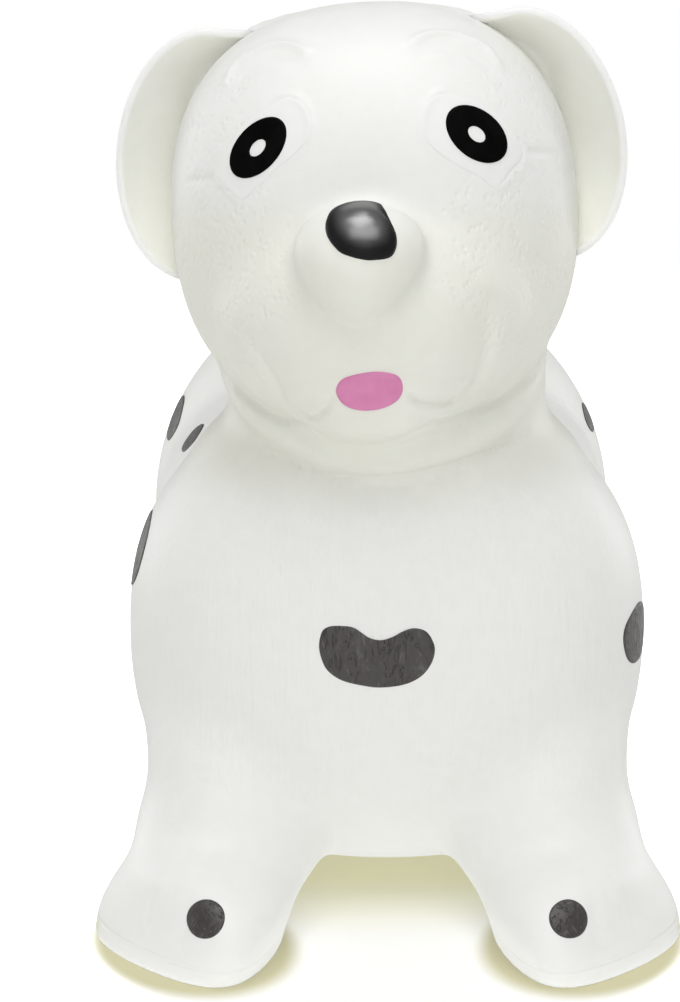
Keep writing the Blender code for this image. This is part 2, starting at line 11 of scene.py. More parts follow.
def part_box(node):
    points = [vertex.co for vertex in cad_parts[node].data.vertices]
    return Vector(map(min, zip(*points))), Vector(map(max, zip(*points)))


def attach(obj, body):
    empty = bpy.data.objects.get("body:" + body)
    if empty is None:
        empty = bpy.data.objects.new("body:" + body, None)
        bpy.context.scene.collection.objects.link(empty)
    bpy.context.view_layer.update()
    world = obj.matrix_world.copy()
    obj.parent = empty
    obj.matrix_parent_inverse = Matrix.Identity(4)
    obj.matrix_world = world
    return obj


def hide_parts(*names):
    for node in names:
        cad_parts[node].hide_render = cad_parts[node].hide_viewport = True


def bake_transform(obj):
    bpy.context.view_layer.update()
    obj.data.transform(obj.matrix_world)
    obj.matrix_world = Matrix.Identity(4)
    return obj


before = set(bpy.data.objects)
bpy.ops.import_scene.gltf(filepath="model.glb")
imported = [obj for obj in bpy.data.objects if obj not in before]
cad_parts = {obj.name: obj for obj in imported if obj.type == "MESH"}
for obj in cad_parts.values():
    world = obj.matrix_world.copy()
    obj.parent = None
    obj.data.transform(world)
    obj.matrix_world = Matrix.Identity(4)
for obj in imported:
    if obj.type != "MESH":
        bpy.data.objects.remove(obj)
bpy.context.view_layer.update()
print("frame loaded with", len(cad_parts), "solids")

sides = {"left": 1, "right": -1}  # the puppy's own left is at +X


def mirrored(side, point):
    return Vector((side * point[0], *point[1:]))


def turned(degrees, axis):
    return Matrix.Rotation(math.radians(degrees), 4, axis)


headPose = {"pivot": Vector((0, -0.098, 0.290)), "middle": Vector((0, -0.109, 0.384)), "turn": -3.5,
            "tilt": -4.0}


def headPlace():  # the head leans and turns about the neck
    lean = turned(headPose["turn"], "Z") @ turned(headPose["tilt"], "Y")
    reach = Matrix.Translation(headPose["middle"] - headPose["pivot"])
    return Matrix.Translation(headPose["pivot"]) @ lean @ reach


head = headPlace()
toHead = head.inverted()
headLean = head.to_3x3().to_4x4()


# camera at the photograph's angle
viewpoint = {"place": (-0.0263, -1.751, 0.586), "down": 12.5, "focalPixels": 3010, "frameTall": 1002}


def makeCamera():
    lens = bpy.data.cameras.new("photoCamera")
    lens.sensor_width = 36
    lens.lens = 36 * viewpoint["focalPixels"] / viewpoint["frameTall"]
    lens.clip_start = 0.05
    thing = bpy.data.objects.new("photoCamera", lens)
    thing.location = viewpoint["place"]
    thing.rotation_euler = (math.radians(90 - viewpoint["down"]), 0, 0)
    bpy.context.scene.collection.objects.link(thing)
    bpy.context.scene.camera = thing


makeCamera()


# mesh helpers

def linked(name, mesh):
    thing = bpy.data.objects.new(name, mesh)
    bpy.context.scene.collection.objects.link(thing)
    return thing


def opened(mesh):
    bm = bmesh.new()
    bm.from_mesh(mesh)
    return bm


def stored(bm, mesh):
    bm.to_mesh(mesh)
    bm.free()
    return mesh


def meshFrom(bm, name):
    return stored(bm, bpy.data.meshes.new(name))


def treeOf(*meshes):
    bm = bmesh.new()
    for mesh in meshes:
        bm.from_mesh(mesh)
    tree = BVHTree.FromBMesh(bm)
    bm.free()
    return tree


def eased(bm, verts, factor, passes):
    for _ in range(passes):
        bmesh.ops.smooth_vert(bm, verts=verts, factor=factor, use_axis_x=True, use_axis_y=True,
                              use_axis_z=True)


def spun(bm, geom, steps):
    bmesh.ops.spin(bm, geom=geom, axis=(0, 0, 1), cent=(0, 0, 0), steps=steps, angle=math.tau, use_merge=True)


def spunProfile(bm, points, steps):
    verts = [bm.verts.new(point) for point in points]
    spun(bm, verts + [bm.edges.new(pair) for pair in zip(verts, verts[1:])], steps)


def settled(thing):  # applies the modifiers
    bpy.context.view_layer.update()
    graph = bpy.context.evaluated_depsgraph_get()
    mesh = bpy.data.meshes.new_from_object(thing.evaluated_get(graph))
    mesh.name = thing.name
    thing.modifiers.clear()
    thing.data = mesh
    return thing


def lump(middle, size, squareness=2.0, pose=None, pinch=0.0, taper=0.0):
    bm = bmesh.new()
    bmesh.ops.create_uvsphere(bm, u_segments=64, v_segments=40, radius=1.0)
    for vert in bm.verts:
        vert.co /= sum(abs(c) ** squareness for c in vert.co) ** (1 / squareness)
        vert.co.x *= 1 + pinch * vert.co.z + taper * vert.co.y
    half = Matrix.Diagonal((size[0] / 2, size[1] / 2, size[2] / 2, 1))
    bm.transform(Matrix.Translation(middle) @ (pose or Matrix()) @ half)
    return bm


def limb(start, end, startRadius, endRadius):
    start, end = Vector(start), Vector(end)
    along = end - start
    shaft = bmesh.new()
    bmesh.ops.create_cone(shaft, cap_ends=True, segments=56, radius1=startRadius, radius2=endRadius,
                          depth=along.length)
    turn = along.to_track_quat("Z", "Y").to_matrix().to_4x4()
    shaft.transform(Matrix.Translation((start + end) / 2) @ turn)
    return [lump(start, (2 * startRadius,) * 3), shaft, lump(end, (2 * endRadius,) * 3)]


def gathered(lumps, name):
    bm = bmesh.new()
    for one in lumps:
        mesh = meshFrom(one, "lump")
        bm.from_mesh(mesh)
        bpy.data.meshes.remove(mesh)
    return meshFrom(bm, name)


def fused(thing, grain, passes):
    remesh = thing.modifiers.new("fuse", "REMESH")
    remesh.mode = "VOXEL"
    remesh.voxel_size = grain
    ease = thing.modifiers.new("ease", "SMOOTH")
    ease.factor = 0.5
    ease.iterations = passes
    return settled(thing)


def curveThrough(points, closed=False, step=8):  # smooth run through the given points
    points = [np.array(p, float) for p in points]
    count = len(points)
    run = []
    for i in range(count if closed else count - 1):
        if closed:
            a, b, c, d = (points[(i + k) % count] for k in (-1, 0, 1, 2))
        else:
            a, b, c, d = (points[min(max(i + k, 0), count - 1)] for k in (-1, 0, 1, 2))
        for t in (k / step for k in range(step)):
            run.append(0.5 * (2 * b + (c - a) * t + (2 * a - 5 * b + 4 * c - d) * t ** 2
                              + (3 * b - a - 3 * c + d) * t ** 3))
    if not closed:
        run.append(points[-1])
    return np.array(run)


def smoothRamp(values, low, high):
    t = np.clip((values - low) / (high - low), 0, 1)
    return t * t * (3 - 2 * t)


# the moulded skin: the same lumps as the solid, at a finer grain

skinForm = {
    "barrel": ((0, 0.064, 0.160), (0.282, 0.400, 0.232), 2.3),
    "rump": ((0, 0.1357, 0.168), (0.290, 0.290, 0.290), 2.0),
    "chest": ((0, -0.096, 0.148), (0.291, 0.224, 0.262), 2.4),
    "shoulders": ((0, -0.090, 0.222), (0.236, 0.196, 0.150), 2.0),
}
neckForm = {"size": (0.178, 0.178, 0.162), "tilt": 27, "foldMiddle": (-0.003, -0.104, 0.308),
            "foldWidth": 0.183, "foldDepth": 0.208, "foldRadius": 0.016}
headForm = {
    "skull": ((0, 0, 0), (0.222, 0.206, 0.228), 2.4),
    "muzzle": ((0, -0.058, -0.042), (0.172, 0.140, 0.138), 2.0),
    "chin": ((0, -0.080, -0.086), (0.100, 0.080, 0.056), 2.0),
}
snoutForm = {"middle": (-0.0025, -0.119, -0.0115), "size": (0.065, 0.066, 0.061), "pinch": 0.30}
legForm = {"hip": (0.084, -0.126, 0.120), "ankle": (0.087, -0.169, 0.046), "legRadius": 0.052,
           "ankleRadius": 0.048, "paw": (0.105, 0.152, 0.084), "pawHeight": 0.013, "pawTaper": 0.40,
           "frontPaw": (0.100, -0.210), "frontSplay": -14, "hindPaw": (0.099, 0.131), "hindSplay": 8,
           "thigh": (0.100, 0.170, 0.176), "thighMiddle": (0.088, 0.151, 0.118)}
tailForm = {"rise": 42, "radius": 0.023, "tip": 0.016, "length": 0.052}
earRoot = {"inner": (0.040, 0.004, 0.101), "outer": (0.059, 0.004, 0.100), "innerRadius": 0.0095,
           "outerRadius": 0.0060}
skinGrain = {"rough": 0.004, "roughPasses": 34, "fine": 0.0038, "finePasses": 6}


def neckFold():
    bm = bmesh.new()
    radius = neckForm["foldRadius"]
    ring = bmesh.ops.create_circle(bm, segments=24, radius=radius)["verts"]
    bm.transform(Matrix.Translation((1, 0, 0)) @ turned(90, "X"))
    spun(bm, ring + bm.edges[:], 90)
    for vert in bm.verts:
        out = Vector((vert.co.x, vert.co.y, 0)).normalized()
        beyond = vert.co - out
        wide, deep = neckForm["foldWidth"] / 2 - radius, neckForm["foldDepth"] / 2 - radius
        vert.co = Vector((out.x * wide, out.y * deep, 0)) + beyond
    bmesh.ops.recalc_face_normals(bm, faces=bm.faces)
    bm.transform(Matrix.Translation(neckForm["foldMiddle"]) @ turned(neckForm["tilt"], "X"))
    return bm


def mainLumps():
    lumps = [lump(*form) for form in skinForm.values()]
    lumps.append(lump(headPose["pivot"], neckForm["size"], pose=turned(neckForm["tilt"], "X")))
    for middle, size, squareness in headForm.values():
        lumps.append(lump(head @ Vector(middle), size, squareness, headLean))
    leg = legForm
    for side in sides.values():
        hip, ankle, thigh = (mirrored(side, leg[key]) for key in ("hip", "ankle", "thighMiddle"))
        lumps += limb(hip, ankle, leg["legRadius"], leg["ankleRadius"])
        lumps.append(lump(thigh, leg["thigh"]))
        for paw, splay in ((leg["frontPaw"], leg["frontSplay"]), (leg["hindPaw"], leg["hindSplay"])):
            place = (side * paw[0], paw[1], leg["pawHeight"])
            lumps.append(lump(place, leg["paw"], 2.0, turned(side * splay, "Z"), taper=leg["pawTaper"]))
    rise = math.radians(tailForm["rise"])
    away = Vector((0, math.cos(rise), math.sin(rise)))
    rump = skinForm["rump"]
    root = Vector(rump[0]) + away * (rump[1][0] / 2 - tailForm["radius"])
    return lumps + limb(root, root + away * tailForm["length"], tailForm["radius"], tailForm["tip"])


def lateLumps():  # laid on last, so that their creases stay
    snout = lump(head @ Vector(snoutForm["middle"]), snoutForm["size"], 2.0, headLean, snoutForm["pinch"])
    lumps = [neckFold(), snout]
    for side in sides.values():
        inner, outer = (head @ mirrored(side, earRoot[key]) for key in ("inner", "outer"))
        lumps += limb(inner, outer, earRoot["innerRadius"], earRoot["outerRadius"])
    return lumps


def flatSoled(mesh):
    bm = opened(mesh)
    bmesh.ops.bisect_plane(bm, geom=bm.verts[:] + bm.edges[:] + bm.faces[:], plane_co=(0, 0, 0),
                           plane_no=(0, 0, -1), clear_outer=True)
    rim = [edge for edge in bm.edges if edge.is_boundary]
    bmesh.ops.holes_fill(bm, edges=rim)
    bmesh.ops.triangulate(bm, faces=[face for face in bm.faces if len(face.verts) > 4])
    stored(bm, mesh)


faceArea = ((-0.110, -0.190, -0.138), (0.110, -0.018, 0.108))


def refined(mesh, low, high):  # a finer mesh within a box of the head's frame
    def inside(point):
        p = toHead @ point
        return all(a < c < b for a, c, b in zip(low, p, high))
    bm = opened(mesh)
    edges = {edge for face in bm.faces if inside(face.calc_center_median()) for edge in face.edges}
    bmesh.ops.subdivide_edges(bm, edges=list(edges), cuts=1, use_grid_fill=True)
    eased(bm, [vert for vert in bm.verts if inside(vert.co)], 0.4, 3)
    stored(bm, mesh)


# moulded relief of the face, in millimetres: (x, z) in the head's frame, then half-width, height and the
# share of the line over which it fades in at its start and out at its end
relief = {
    "rightBrow": ([(-71, 76), (-69.5, 82), (-65, 88), (-58, 92.5), (-50, 95.8), (-42, 97.3), (-33, 96.5),
                   (-24, 92.5)], 2.8, 2.4, 0.35, 0.15),
    "leftBrow": ([(26.5, 93.5), (34.5, 96.8), (42, 97.4), (51, 96), (59, 92.5), (66, 88.5), (71.5, 82.5),
                  (74.5, 76.5)], 2.8, 2.4, 0.15, 0.35),
    "rightBrowHollow": ([(-64, 74), (-63, 80), (-59, 84.5), (-53, 87.5), (-45, 89.5), (-34, 89.5),
                         (-26, 86.5)], 3.6, -0.9, 0.3, 0.2),
    "leftBrowHollow": ([(28.5, 87.5), (36, 90.5), (45, 90.5), (54, 88), (61, 84.5), (65.5, 80), (68, 74.5)],
                       3.6, -0.9, 0.2, 0.3),
    "rightEyeEdge": ([(-45, 69.5), (-40.3, 73), (-32.9, 72.6), (-27.8, 68.3), (-24.8, 61.8), (-24.2, 53.4),
                      (-27, 48)], 1.9, 0.9, 0.25, 0.3),
    "leftEyeEdge": ([(50, 69), (41.7, 69.6), (36.4, 65.5), (33, 58.5), (32.4, 50), (35, 44)], 1.9, 0.9,
                    0.25, 0.3),
    "rightLid": ([(-77.5, 33), (-71.8, 27.5), (-64, 19.2)], 1.8, 0.75, 0.15, 0.15),
    "leftLid": ([(67.2, 17.2), (75.4, 21.8), (83.8, 29), (85, 34)], 1.8, 0.75, 0.15, 0.15),
    "rightCorner": ([(-97, 29.5), (-87, 31.3), (-78.5, 32)], 1.8, -1.0, 0.3, 0.1),
    "leftCorner": ([(85.5, 34.4), (92, 33.5), (103, 30)], 1.8, -1.0, 0.1, 0.3),
    "rightMuzzleHollow": ([(-60, -44), (-55, -58), (-50, -70), (-45, -80)], 9.0, -1.8, 0.5, 0.45),
    "leftMuzzleHollow": ([(63, -30), (60, -48), (54, -66), (46, -78)], 11.0, -2.6, 0.5, 0.45),
    "rightJowl": ([(-76, -60), (-70, -74), (-62, -84), (-52, -92)], 6.0, 1.6, 0.4, 0.4),
    "leftJowl": ([(81, -76), (71, -88), (57.5, -92.5), (45, -95)], 6.0, 1.8, 0.4, 0.4),
    "rightCheekFold": ([(-64.7, -47), (-61.2, -57), (-56.3, -68), (-52, -77), (-48.8, -85.7),
                        (-42.5, -89.7)], 4.5, -1.9, 0.5, 0.3),
    "leftCheekFold": ([(64, -38), (62, -50.6), (60.6, -63), (56, -76), (49.3, -84.4), (43, -88)], 5.0, -2.0,
                      0.7, 0.3),
    "rightJaw": ([(-87.4, -69), (-86.5, -79), (-78.4, -85.6), (-66.6, -92.6), (-53.6, -98), (-38.5, -98.5)],
                 2.2, -2.0, 0.15, 0.0),
    "leftJaw": ([(88.4, -81.8), (83.6, -88.8), (76, -92.3), (63.4, -97.5), (51, -99.8), (40.8, -100.3),
                 (28.7, -100)], 2.2, -2.0, 0.15, 0.0),
    "chinRoll": ([(-28, -96), (-17, -100.5), (-4, -102.5), (12, -100), (24, -95.5)], 5.0, 1.5, 0.2, 0.2),
    "chinCrease": ([(-37.8, -99), (-29.8, -104.8), (-21.2, -109.2), (-9, -111), (3.3, -110.2),
                    (12.5, -107.3), (20.2, -103.5), (28.7, -100)], 2.0, -1.7, 0.0, 0.0),
    "noseSlit": ([(10.5, 14.5), (14, 10.5), (17.2, 4.5)], 1.3, -0.9, 0.3, 0.3),
    "rightLipRoll": ([(-40, -85), (-34, -87.5), (-29, -84.5), (-25, -79.5)], 3.8, 0.8, 0.3, 0.3),
    "leftLipRoll": ([(21, -78), (28, -82), (35, -84), (41, -83.5)], 3.8, 0.8, 0.3, 0.3),
    "rightLip": ([(-42.5, -89), (-37.2, -92.5), (-33.4, -93.2), (-29.2, -89.9), (-25, -85.8), (-21, -80)],
                 1.9, -2.1, 0.25, 0.2),
    "leftLip": ([(16, -80), (21.3, -85), (27.7, -87.7), (34.7, -89.6), (39.8, -89.1), (43.5, -87.8)], 1.9,
                -2.1, 0.2, 0.25),
}
eyeOutline = {
    "right": [(-43, 70.4), (-35, 73.1), (-28.2, 70.8), (-24.2, 65.2), (-23.4, 57.8), (-25.9, 50.5),
              (-33, 43.3), (-41.8, 37.1), (-51.9, 28.8), (-64, 20), (-71, 24.8), (-77, 31.8), (-73.2, 41.5),
              (-65.3, 54.1), (-55.7, 63.9)],
    "left": [(31.5, 54.3), (32.3, 61.6), (36.2, 67.2), (42.4, 69.6), (50, 68.4), (60.1, 64.4), (70.9, 56.8),
             (79.2, 46.7), (84, 33.3), (76.9, 25.3), (68.8, 18), (59.5, 25.1), (48.1, 32.3), (38.4, 40.3),
             (33.1, 46.7)],
}
eyeRim = {"width": 1.7, "height": 0.15}

# shallow marks on the chest and paws: points in the object's frame, in millimetres
bodyMarks = {
    "chestVee": ([(-53, -179, 238), (-37, -188, 229), (-8, -195, 220), (22, -190, 230), (38, -182, 239)],
                 5.0, -1.0),
    "foldCrease": ([(-78, -142, 264), (-52, -168, 256), (-24, -182, 251), (3, -187, 253), (32, -183, 258),
                    (56, -165, 263), (78, -139, 268)], 2.4, -2.2),
}
toeMarks = {
    "OuterToe": ([(126, -240, 44), (133, -247, 33), (138, -252, 20)], 4.2, -1.6),
    "InnerToe": ([(105, -254, 44), (109, -264, 33), (113, -271, 18)], 4.2, -1.4),
    "HindToe": ([(110, 74, 44), (115, 66, 32), (118, 61, 18)], 4.2, -1.5),
}
for name, side in sides.items():
    for toe, (points, *form) in toeMarks.items():
        bodyMarks[name + toe] = ([mirrored(side, point) for point in points], *form)
markForm = {"fades": (0.5, 0.2), "margin": 0.02}


# how far each height of a front paw leans outward, in millimetres: the sole splays, the ankle fills the arch
pawLean = {"outer": [(0, 3.2), (6, 1.0), (13, -1.6), (21, -3.8), (29, -4.4), (37, -2.2), (45, 2.6), (53, 5.0),
                     (61, 3.2), (70, 0), (82, -1.4), (94, -0.6), (106, 0)],
           "inner": [(0, 4.8), (10, 4), (20, 0), (32, -4), (44, -5.5), (55, -5), (66, -2.5), (80, 0)]}
pawZone = {"outward": (0.060, 0.106), "front": (0.105, 0.150), "apart": (0.020, 0.045), "softShare": 0.3,
           "softHeights": (0.004, 0.115), "passes": 10}  # in metres


def placesOf(mesh, kind="co"):
    values = np.empty(len(mesh.vertices) * 3)
    mesh.vertices.foreach_get(kind, values)
    return values.reshape(-1, 3)


def inHead(co):
    return co @ np.array(toHead.to_3x3()).T + np.array(toHead.translation)


def leanPaws(mesh):
    co = placesOf(mesh)
    x, y, z = co.T
    away = np.abs(x)
    outer, inner = (np.interp(z, *(curveThrough(pawLean[key]).T / 1000)) for key in ("outer", "inner"))
    share = smoothRamp(away, *pawZone["outward"])
    paw = smoothRamp(-y, *pawZone["front"]) * smoothRamp(away, *pawZone["apart"])
    lean = (outer * share + inner * (1 - share)) * paw
    moved = co + np.stack((np.sign(x) * lean, 0 * y, 0 * z), axis=1)
    bm = opened(mesh)
    for vert, place in zip(bm.verts, moved):
        vert.co = place
    low, high = pawZone["softHeights"]
    held = paw > pawZone["softShare"]
    soft = [vert for vert, kept in zip(bm.verts, held) if kept and low < vert.co.z < high]
    eased(bm, soft, 0.5, pawZone["passes"])
    stored(bm, mesh)


def onFace(tree, x, z):  # where a point of the face drawing meets the skin
    start = head @ Vector((x / 1000, -0.25, z / 1000))
    return tree.ray_cast(start, headLean.to_3x3() @ Vector((0, 1, 0)))[0]


def raised(points, normals, line, width, height, fadeIn, fadeOut):
    step = line[None, :, :] - points[:, None, :]
    gap = np.sqrt((step ** 2).sum(axis=2))
    along = gap.argmin(axis=1) / max(len(line) - 1, 1)
    ends = np.clip(along / max(fadeIn, 0.001), 0, 1) * np.clip((1 - along) / max(fadeOut, 0.001), 0, 1)
    if not fadeIn:
        ends = np.where(along == 0, 1, ends)
    if not fadeOut:
        ends = np.where(along == 1, 1, ends)
    rise = height * np.exp(-(gap.min(axis=1) / width) ** 2) * ends * (2 - ends)
    return points + normals * rise[:, None]


def sculpt(mesh):
    co, no = placesOf(mesh), placesOf(mesh, "normal")
    tree = treeOf(mesh)
    local = inHead(co)
    near = np.nonzero((local[:, 1] < 0.0) & (np.abs(local[:, 2]) < 0.125))[0]
    lines = []
    for drawn, *form in relief.values():
        lines.append((curveThrough(drawn), *form))
    for drawn in eyeOutline.values():
        lines.append((curveThrough(drawn, closed=True, step=4), *eyeRim.values(), 0, 0))
    for drawn, width, height, fadeIn, fadeOut in lines:
        hits = [onFace(tree, x, z) for x, z in drawn]
        line = np.array([tuple(h) for h in hits if h is not None])
        co[near] = raised(co[near], no[near], line, width / 1000, height / 1000, fadeIn, fadeOut)
    for points, width, height in bodyMarks.values():
        line = np.array([tree.find_nearest(Vector(p))[0] for p in curveThrough(points) / 1000])
        middle = line.mean(axis=0)
        reach = np.linalg.norm(line - middle, axis=1).max() + markForm["margin"]
        close = np.nonzero(np.linalg.norm(co - middle, axis=1) < reach)[0]
        co[close] = raised(co[close], no[close], line, width / 1000, height / 1000, *markForm["fades"])
    mesh.vertices.foreach_set("co", co.ravel())
    mesh.update()


plugForm = {"middle": (0, 0.015), "bore": 0.0083, "depth": 0.024}


def boredForPlug(thing, belly):
    bm = bmesh.new()
    bmesh.ops.create_cone(bm, cap_ends=True, segments=64, radius1=plugForm["bore"], radius2=plugForm["bore"],
                          depth=2 * plugForm["depth"])
    bm.transform(Matrix.Translation((*plugForm["middle"], belly)))
    cutter = linked("plugBore", meshFrom(bm, "plugBore"))
    bore = thing.modifiers.new("bore", "BOOLEAN")
    bore.object = cutter
    bore.operation = "DIFFERENCE"
    bore.solver = "MANIFOLD"
    settled(thing)
    bpy.data.objects.remove(cutter)


def makeSkin():
    skin = linked("puppySkin", gathered(mainLumps(), "puppySkin"))
    fused(skin, skinGrain["rough"], skinGrain["roughPasses"])
    skin.data = gathered([opened(skin.data)] + lateLumps(), "puppySkin")
    fused(skin, skinGrain["fine"], skinGrain["finePasses"])
    flatSoled(skin.data)
    refined(skin.data, *faceArea)
    leanPaws(skin.data)
    sculpt(skin.data)
    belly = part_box("air_plug")[0].z
    boredForPlug(skin, belly)
    skin.data.shade_smooth()
    print("skin moulded with", sum(len(face.vertices) - 2 for face in skin.data.polygons), "triangles")
    return skin


skin = makeSkin()
skinTree = treeOf(skin.data)


# ears: cupped leaves, open to the front, that grow out of the crown

earForm = {"middle": (0.0917, 0.0375), "width": 0.094, "height": 0.140, "lean": 10, "rimY": -0.012,
           "depth": 0.044, "curl": 0.66, "bend": 1.4, "rootCurl": 0.35, "curlTurn": 52, "first": 104,
           "last": -96, "thickness": 0.0046, "rootRun": 0.16, "rootInner": (0.038, 0, 0.1015),
           "rootDepth": 0.030, "tuck": (0.052, 0.034, 0.070), "tuckStart": 0.72, "tuckEnd": 0.45,
           "tuckShare": 0.8}


def earRim(side, degrees, share):
    ear = earForm
    angle, slant = math.radians(degrees), math.radians(degrees - ear["lean"])
    reach = 1 / math.hypot(math.cos(slant) / (ear["width"] / 2), math.sin(slant) / (ear["height"] / 2))
    drawn = min(1, ear["rootCurl"] + (1 - ear["rootCurl"]) * (ear["first"] - degrees) / ear["curlTurn"])
    reach *= 1 - ear["curl"] * drawn * share ** ear["bend"]
    return Vector((side * (ear["middle"][0] + reach * math.cos(angle)), ear["rimY"] + ear["depth"] * share,
                   ear["middle"][1] + reach * math.sin(angle)))


def earLeaf(side, along, share):
    ear = earForm
    if along >= ear["rootRun"]:
        past = (along - ear["rootRun"]) / (1 - ear["rootRun"])
        return earRim(side, ear["first"] + (ear["last"] - ear["first"]) * past, share)
    out = along / ear["rootRun"]
    rim, start = earRim(side, ear["first"], 0), earRim(side, ear["first"], share)
    inner = mirrored(side, ear["rootInner"])
    inner += Vector((start.x - rim.x, ear["rootDepth"] * share, start.z - rim.z))
    ease = out * out * (3 - 2 * out)
    return inner.lerp(start, 0.5 * (out + ease))


def earPoint(side, along, share):  # the back edge near the root is tucked into the head
    ear = earForm
    leaf = earLeaf(side, along, min(1, share / ear["tuckStart"]))
    past = min(1, max(0, (along - ear["rootRun"]) / (ear["tuckEnd"] - ear["rootRun"])))
    pull = max(0, (share - ear["tuckStart"]) / (1 - ear["tuckStart"])) * (1 - past * past * (3 - 2 * past))
    return leaf.lerp(mirrored(side, ear["tuck"]), ear["tuckShare"] * pull)


def makeEar(name, side):
    bm = bmesh.new()
    bmesh.ops.create_grid(bm, x_segments=58, y_segments=16, size=1.0)
    for vert in bm.verts:
        vert.co = head @ earPoint(side, (vert.co.x + 1) / 2, (vert.co.y + 1) / 2)
    if side < 0:
        bmesh.ops.reverse_faces(bm, faces=bm.faces)
    ear = linked(name, meshFrom(bm, name))
    wall = ear.modifiers.new("wall", "SOLIDIFY")
    wall.thickness = earForm["thickness"]
    wall.offset = -1
    rounding = ear.modifiers.new("round", "SUBSURF")
    rounding.levels = rounding.render_levels = 2
    settled(ear)
    ear.data.shade_smooth()
    return ear


ears = {name: makeEar(name + "Ear", side) for name, side in sides.items()}
print("ears cupped")


# painted patches, laid on the skin

def ahead(rise):  # the way to a viewer in front, so many degrees up
    return Vector((0, -math.cos(math.radians(rise)), math.sin(math.radians(rise))))


def beside(side, rise):
    return Vector((side * math.cos(math.radians(rise)), 0, math.sin(math.radians(rise))))


def patchPlace(middle, facing, pose=None):
    facing = (pose.to_3x3() @ facing if pose else facing).normalized()
    up = pose.to_3x3() @ Vector((0, 0, 1)) if pose else Vector((0, 0, 1))
    across = up.cross(facing).normalized()
    turn = Matrix((across, facing.cross(across), facing)).transposed().to_4x4()
    return Matrix.Translation(middle) @ turn


def ovalOutline(length, width, turn=0.0, wobble=0.0, phase=0.0, steps=64):
    run = []
    for k in range(steps):
        t = math.tau * k / steps
        swell = math.sin(2 * t + phase) + 0.6 * math.sin(3 * t + 2.1 * phase) + 0.3 * math.sin(5 * t)
        swell = 1 + wobble * swell
        flat = Vector((length / 2 * math.cos(t) * swell, width / 2 * math.sin(t) * swell, 0))
        flat.rotate(turned(turn, "Z"))
        run.append((flat.x, flat.y))
    return np.array(run)


patchForm = {"edge": 0.0005, "rings": 14, "castFrom": 0.07, "rimShare": 0.06, "wall": 0.0012}


def makePatch(name, place, outline, lift, hole=0.0, dome=0.0):
    steps, rings, castFrom = len(outline), patchForm["rings"], patchForm["castFrom"]
    middle = outline.mean(axis=0)
    bm = bmesh.new()
    spunProfile(bm, [(hole + (1 - hole) * i / rings, 0, 0) for i in range(rings + 1)], steps)
    bmesh.ops.remove_doubles(bm, verts=bm.verts, dist=0.0005)
    reaches = {}
    toRim = bm.verts.layers.float.new("reach")
    facing = (place.to_3x3() @ Vector((0, 0, 1))).normalized()
    for vert in bm.verts:
        reach = math.hypot(vert.co.x, vert.co.y)
        spokeAt = math.atan2(vert.co.y, vert.co.x) / math.tau * steps
        rim = outline[round(spokeAt) % steps]
        start = place @ Vector((*(middle + (rim - middle) * reach), castFrom))
        hit = skinTree.ray_cast(start, -facing)[0]
        reaches[vert] = vert[toRim] = reach
        vert.co = hit if hit else start - facing * castFrom
    bm.normal_update()
    if sum((face.normal for face in bm.faces), Vector()).dot(facing) < 0:
        bmesh.ops.reverse_faces(bm, faces=bm.faces)
        bm.normal_update()
    for vert, away in [(vert, vert.normal.copy()) for vert in bm.verts]:
        reach = reaches[vert]
        inside = max(0, min(1, (1 - reach) / patchForm["rimShare"]))
        if hole:
            inside = max(0, min(inside, (reach - hole) / patchForm["rimShare"]))
        ease = inside * (2 - inside)
        swell = dome * max(0, 1 - reach ** 2) ** 0.7
        vert.co += away * (lift * ease - patchForm["edge"] * (1 - ease) + swell)
    patch = linked(name, meshFrom(bm, name))
    wall = patch.modifiers.new("wall", "SOLIDIFY")
    wall.thickness = patchForm["wall"] + dome
    wall.offset = -1
    settled(patch)
    patch.data.shade_smooth()
    return patch


def flatOutline(points, step=6):
    return curveThrough(points, closed=True, step=step) / 1000


faceDrawing = patchPlace(head @ Vector((0, -0.09, 0)), Vector((0, -1, 0)), headLean)
pupils = {"left": {"middle": (59.9, 47.0), "length": 37.9, "width": 23.6, "turn": -44},
          "right": {"middle": (-53.0, 47.5), "length": 39.0, "width": 22.9, "turn": 43}}
glint = 0.235
nose = {"middle": (-0.0025, -0.119, -0.014), "facing": 50, "dome": 0.0030,
        "outline": [(4.6, 24.5), (12, 20.8), (15.2, 12.4), (18.6, 3), (21, -4.6), (20.3, -11.5),
                    (16.2, -16.5), (5.4, -19.2), (-6.8, -15.6), (-13.8, -6.2), (-15.2, 4.4), (-12, 15),
                    (-4.6, 22.6)]}
tongue = {"dome": 0.0007,
          "outline": [(-20, -77.5), (-16.8, -70.9), (-8.7, -67.9), (3.2, -66.9), (13.2, -69.9), (15.7, -76.8),
                      (12.7, -83.5), (3.6, -87.7), (-7.8, -88.1), (-16.4, -84.6)]}
kidney = {"middle": (0, -0.21, 0),
          "outline": [(-27.5, 176), (-20.3, 175.4), (-15.5, 172.6), (-11, 169.6), (-6, 168.3),
                      (-1.5, 168.8), (3, 170.6), (7.5, 173.1), (13.6, 174.9), (20.3, 173.1), (24.2, 167.4),
                      (25.3, 161.7), (23.1, 154.3), (17.5, 147.4), (8.1, 142.9), (-4.7, 141.3),
                      (-14.2, 142.3), (-25.8, 145.1), (-33.6, 150.3), (-37.2, 157), (-38.6, 165),
                      (-36.9, 172.6), (-33.1, 175.4)]}
pawSpot = {"left": (0.0928, -0.286, 0.0409), "right": (-0.0964, -0.286, 0.0409), "size": 0.0212, "facing": 20,
           "wobble": 0.012}
torsoMiddle = {"z": 0.160, "reach": 0.141}
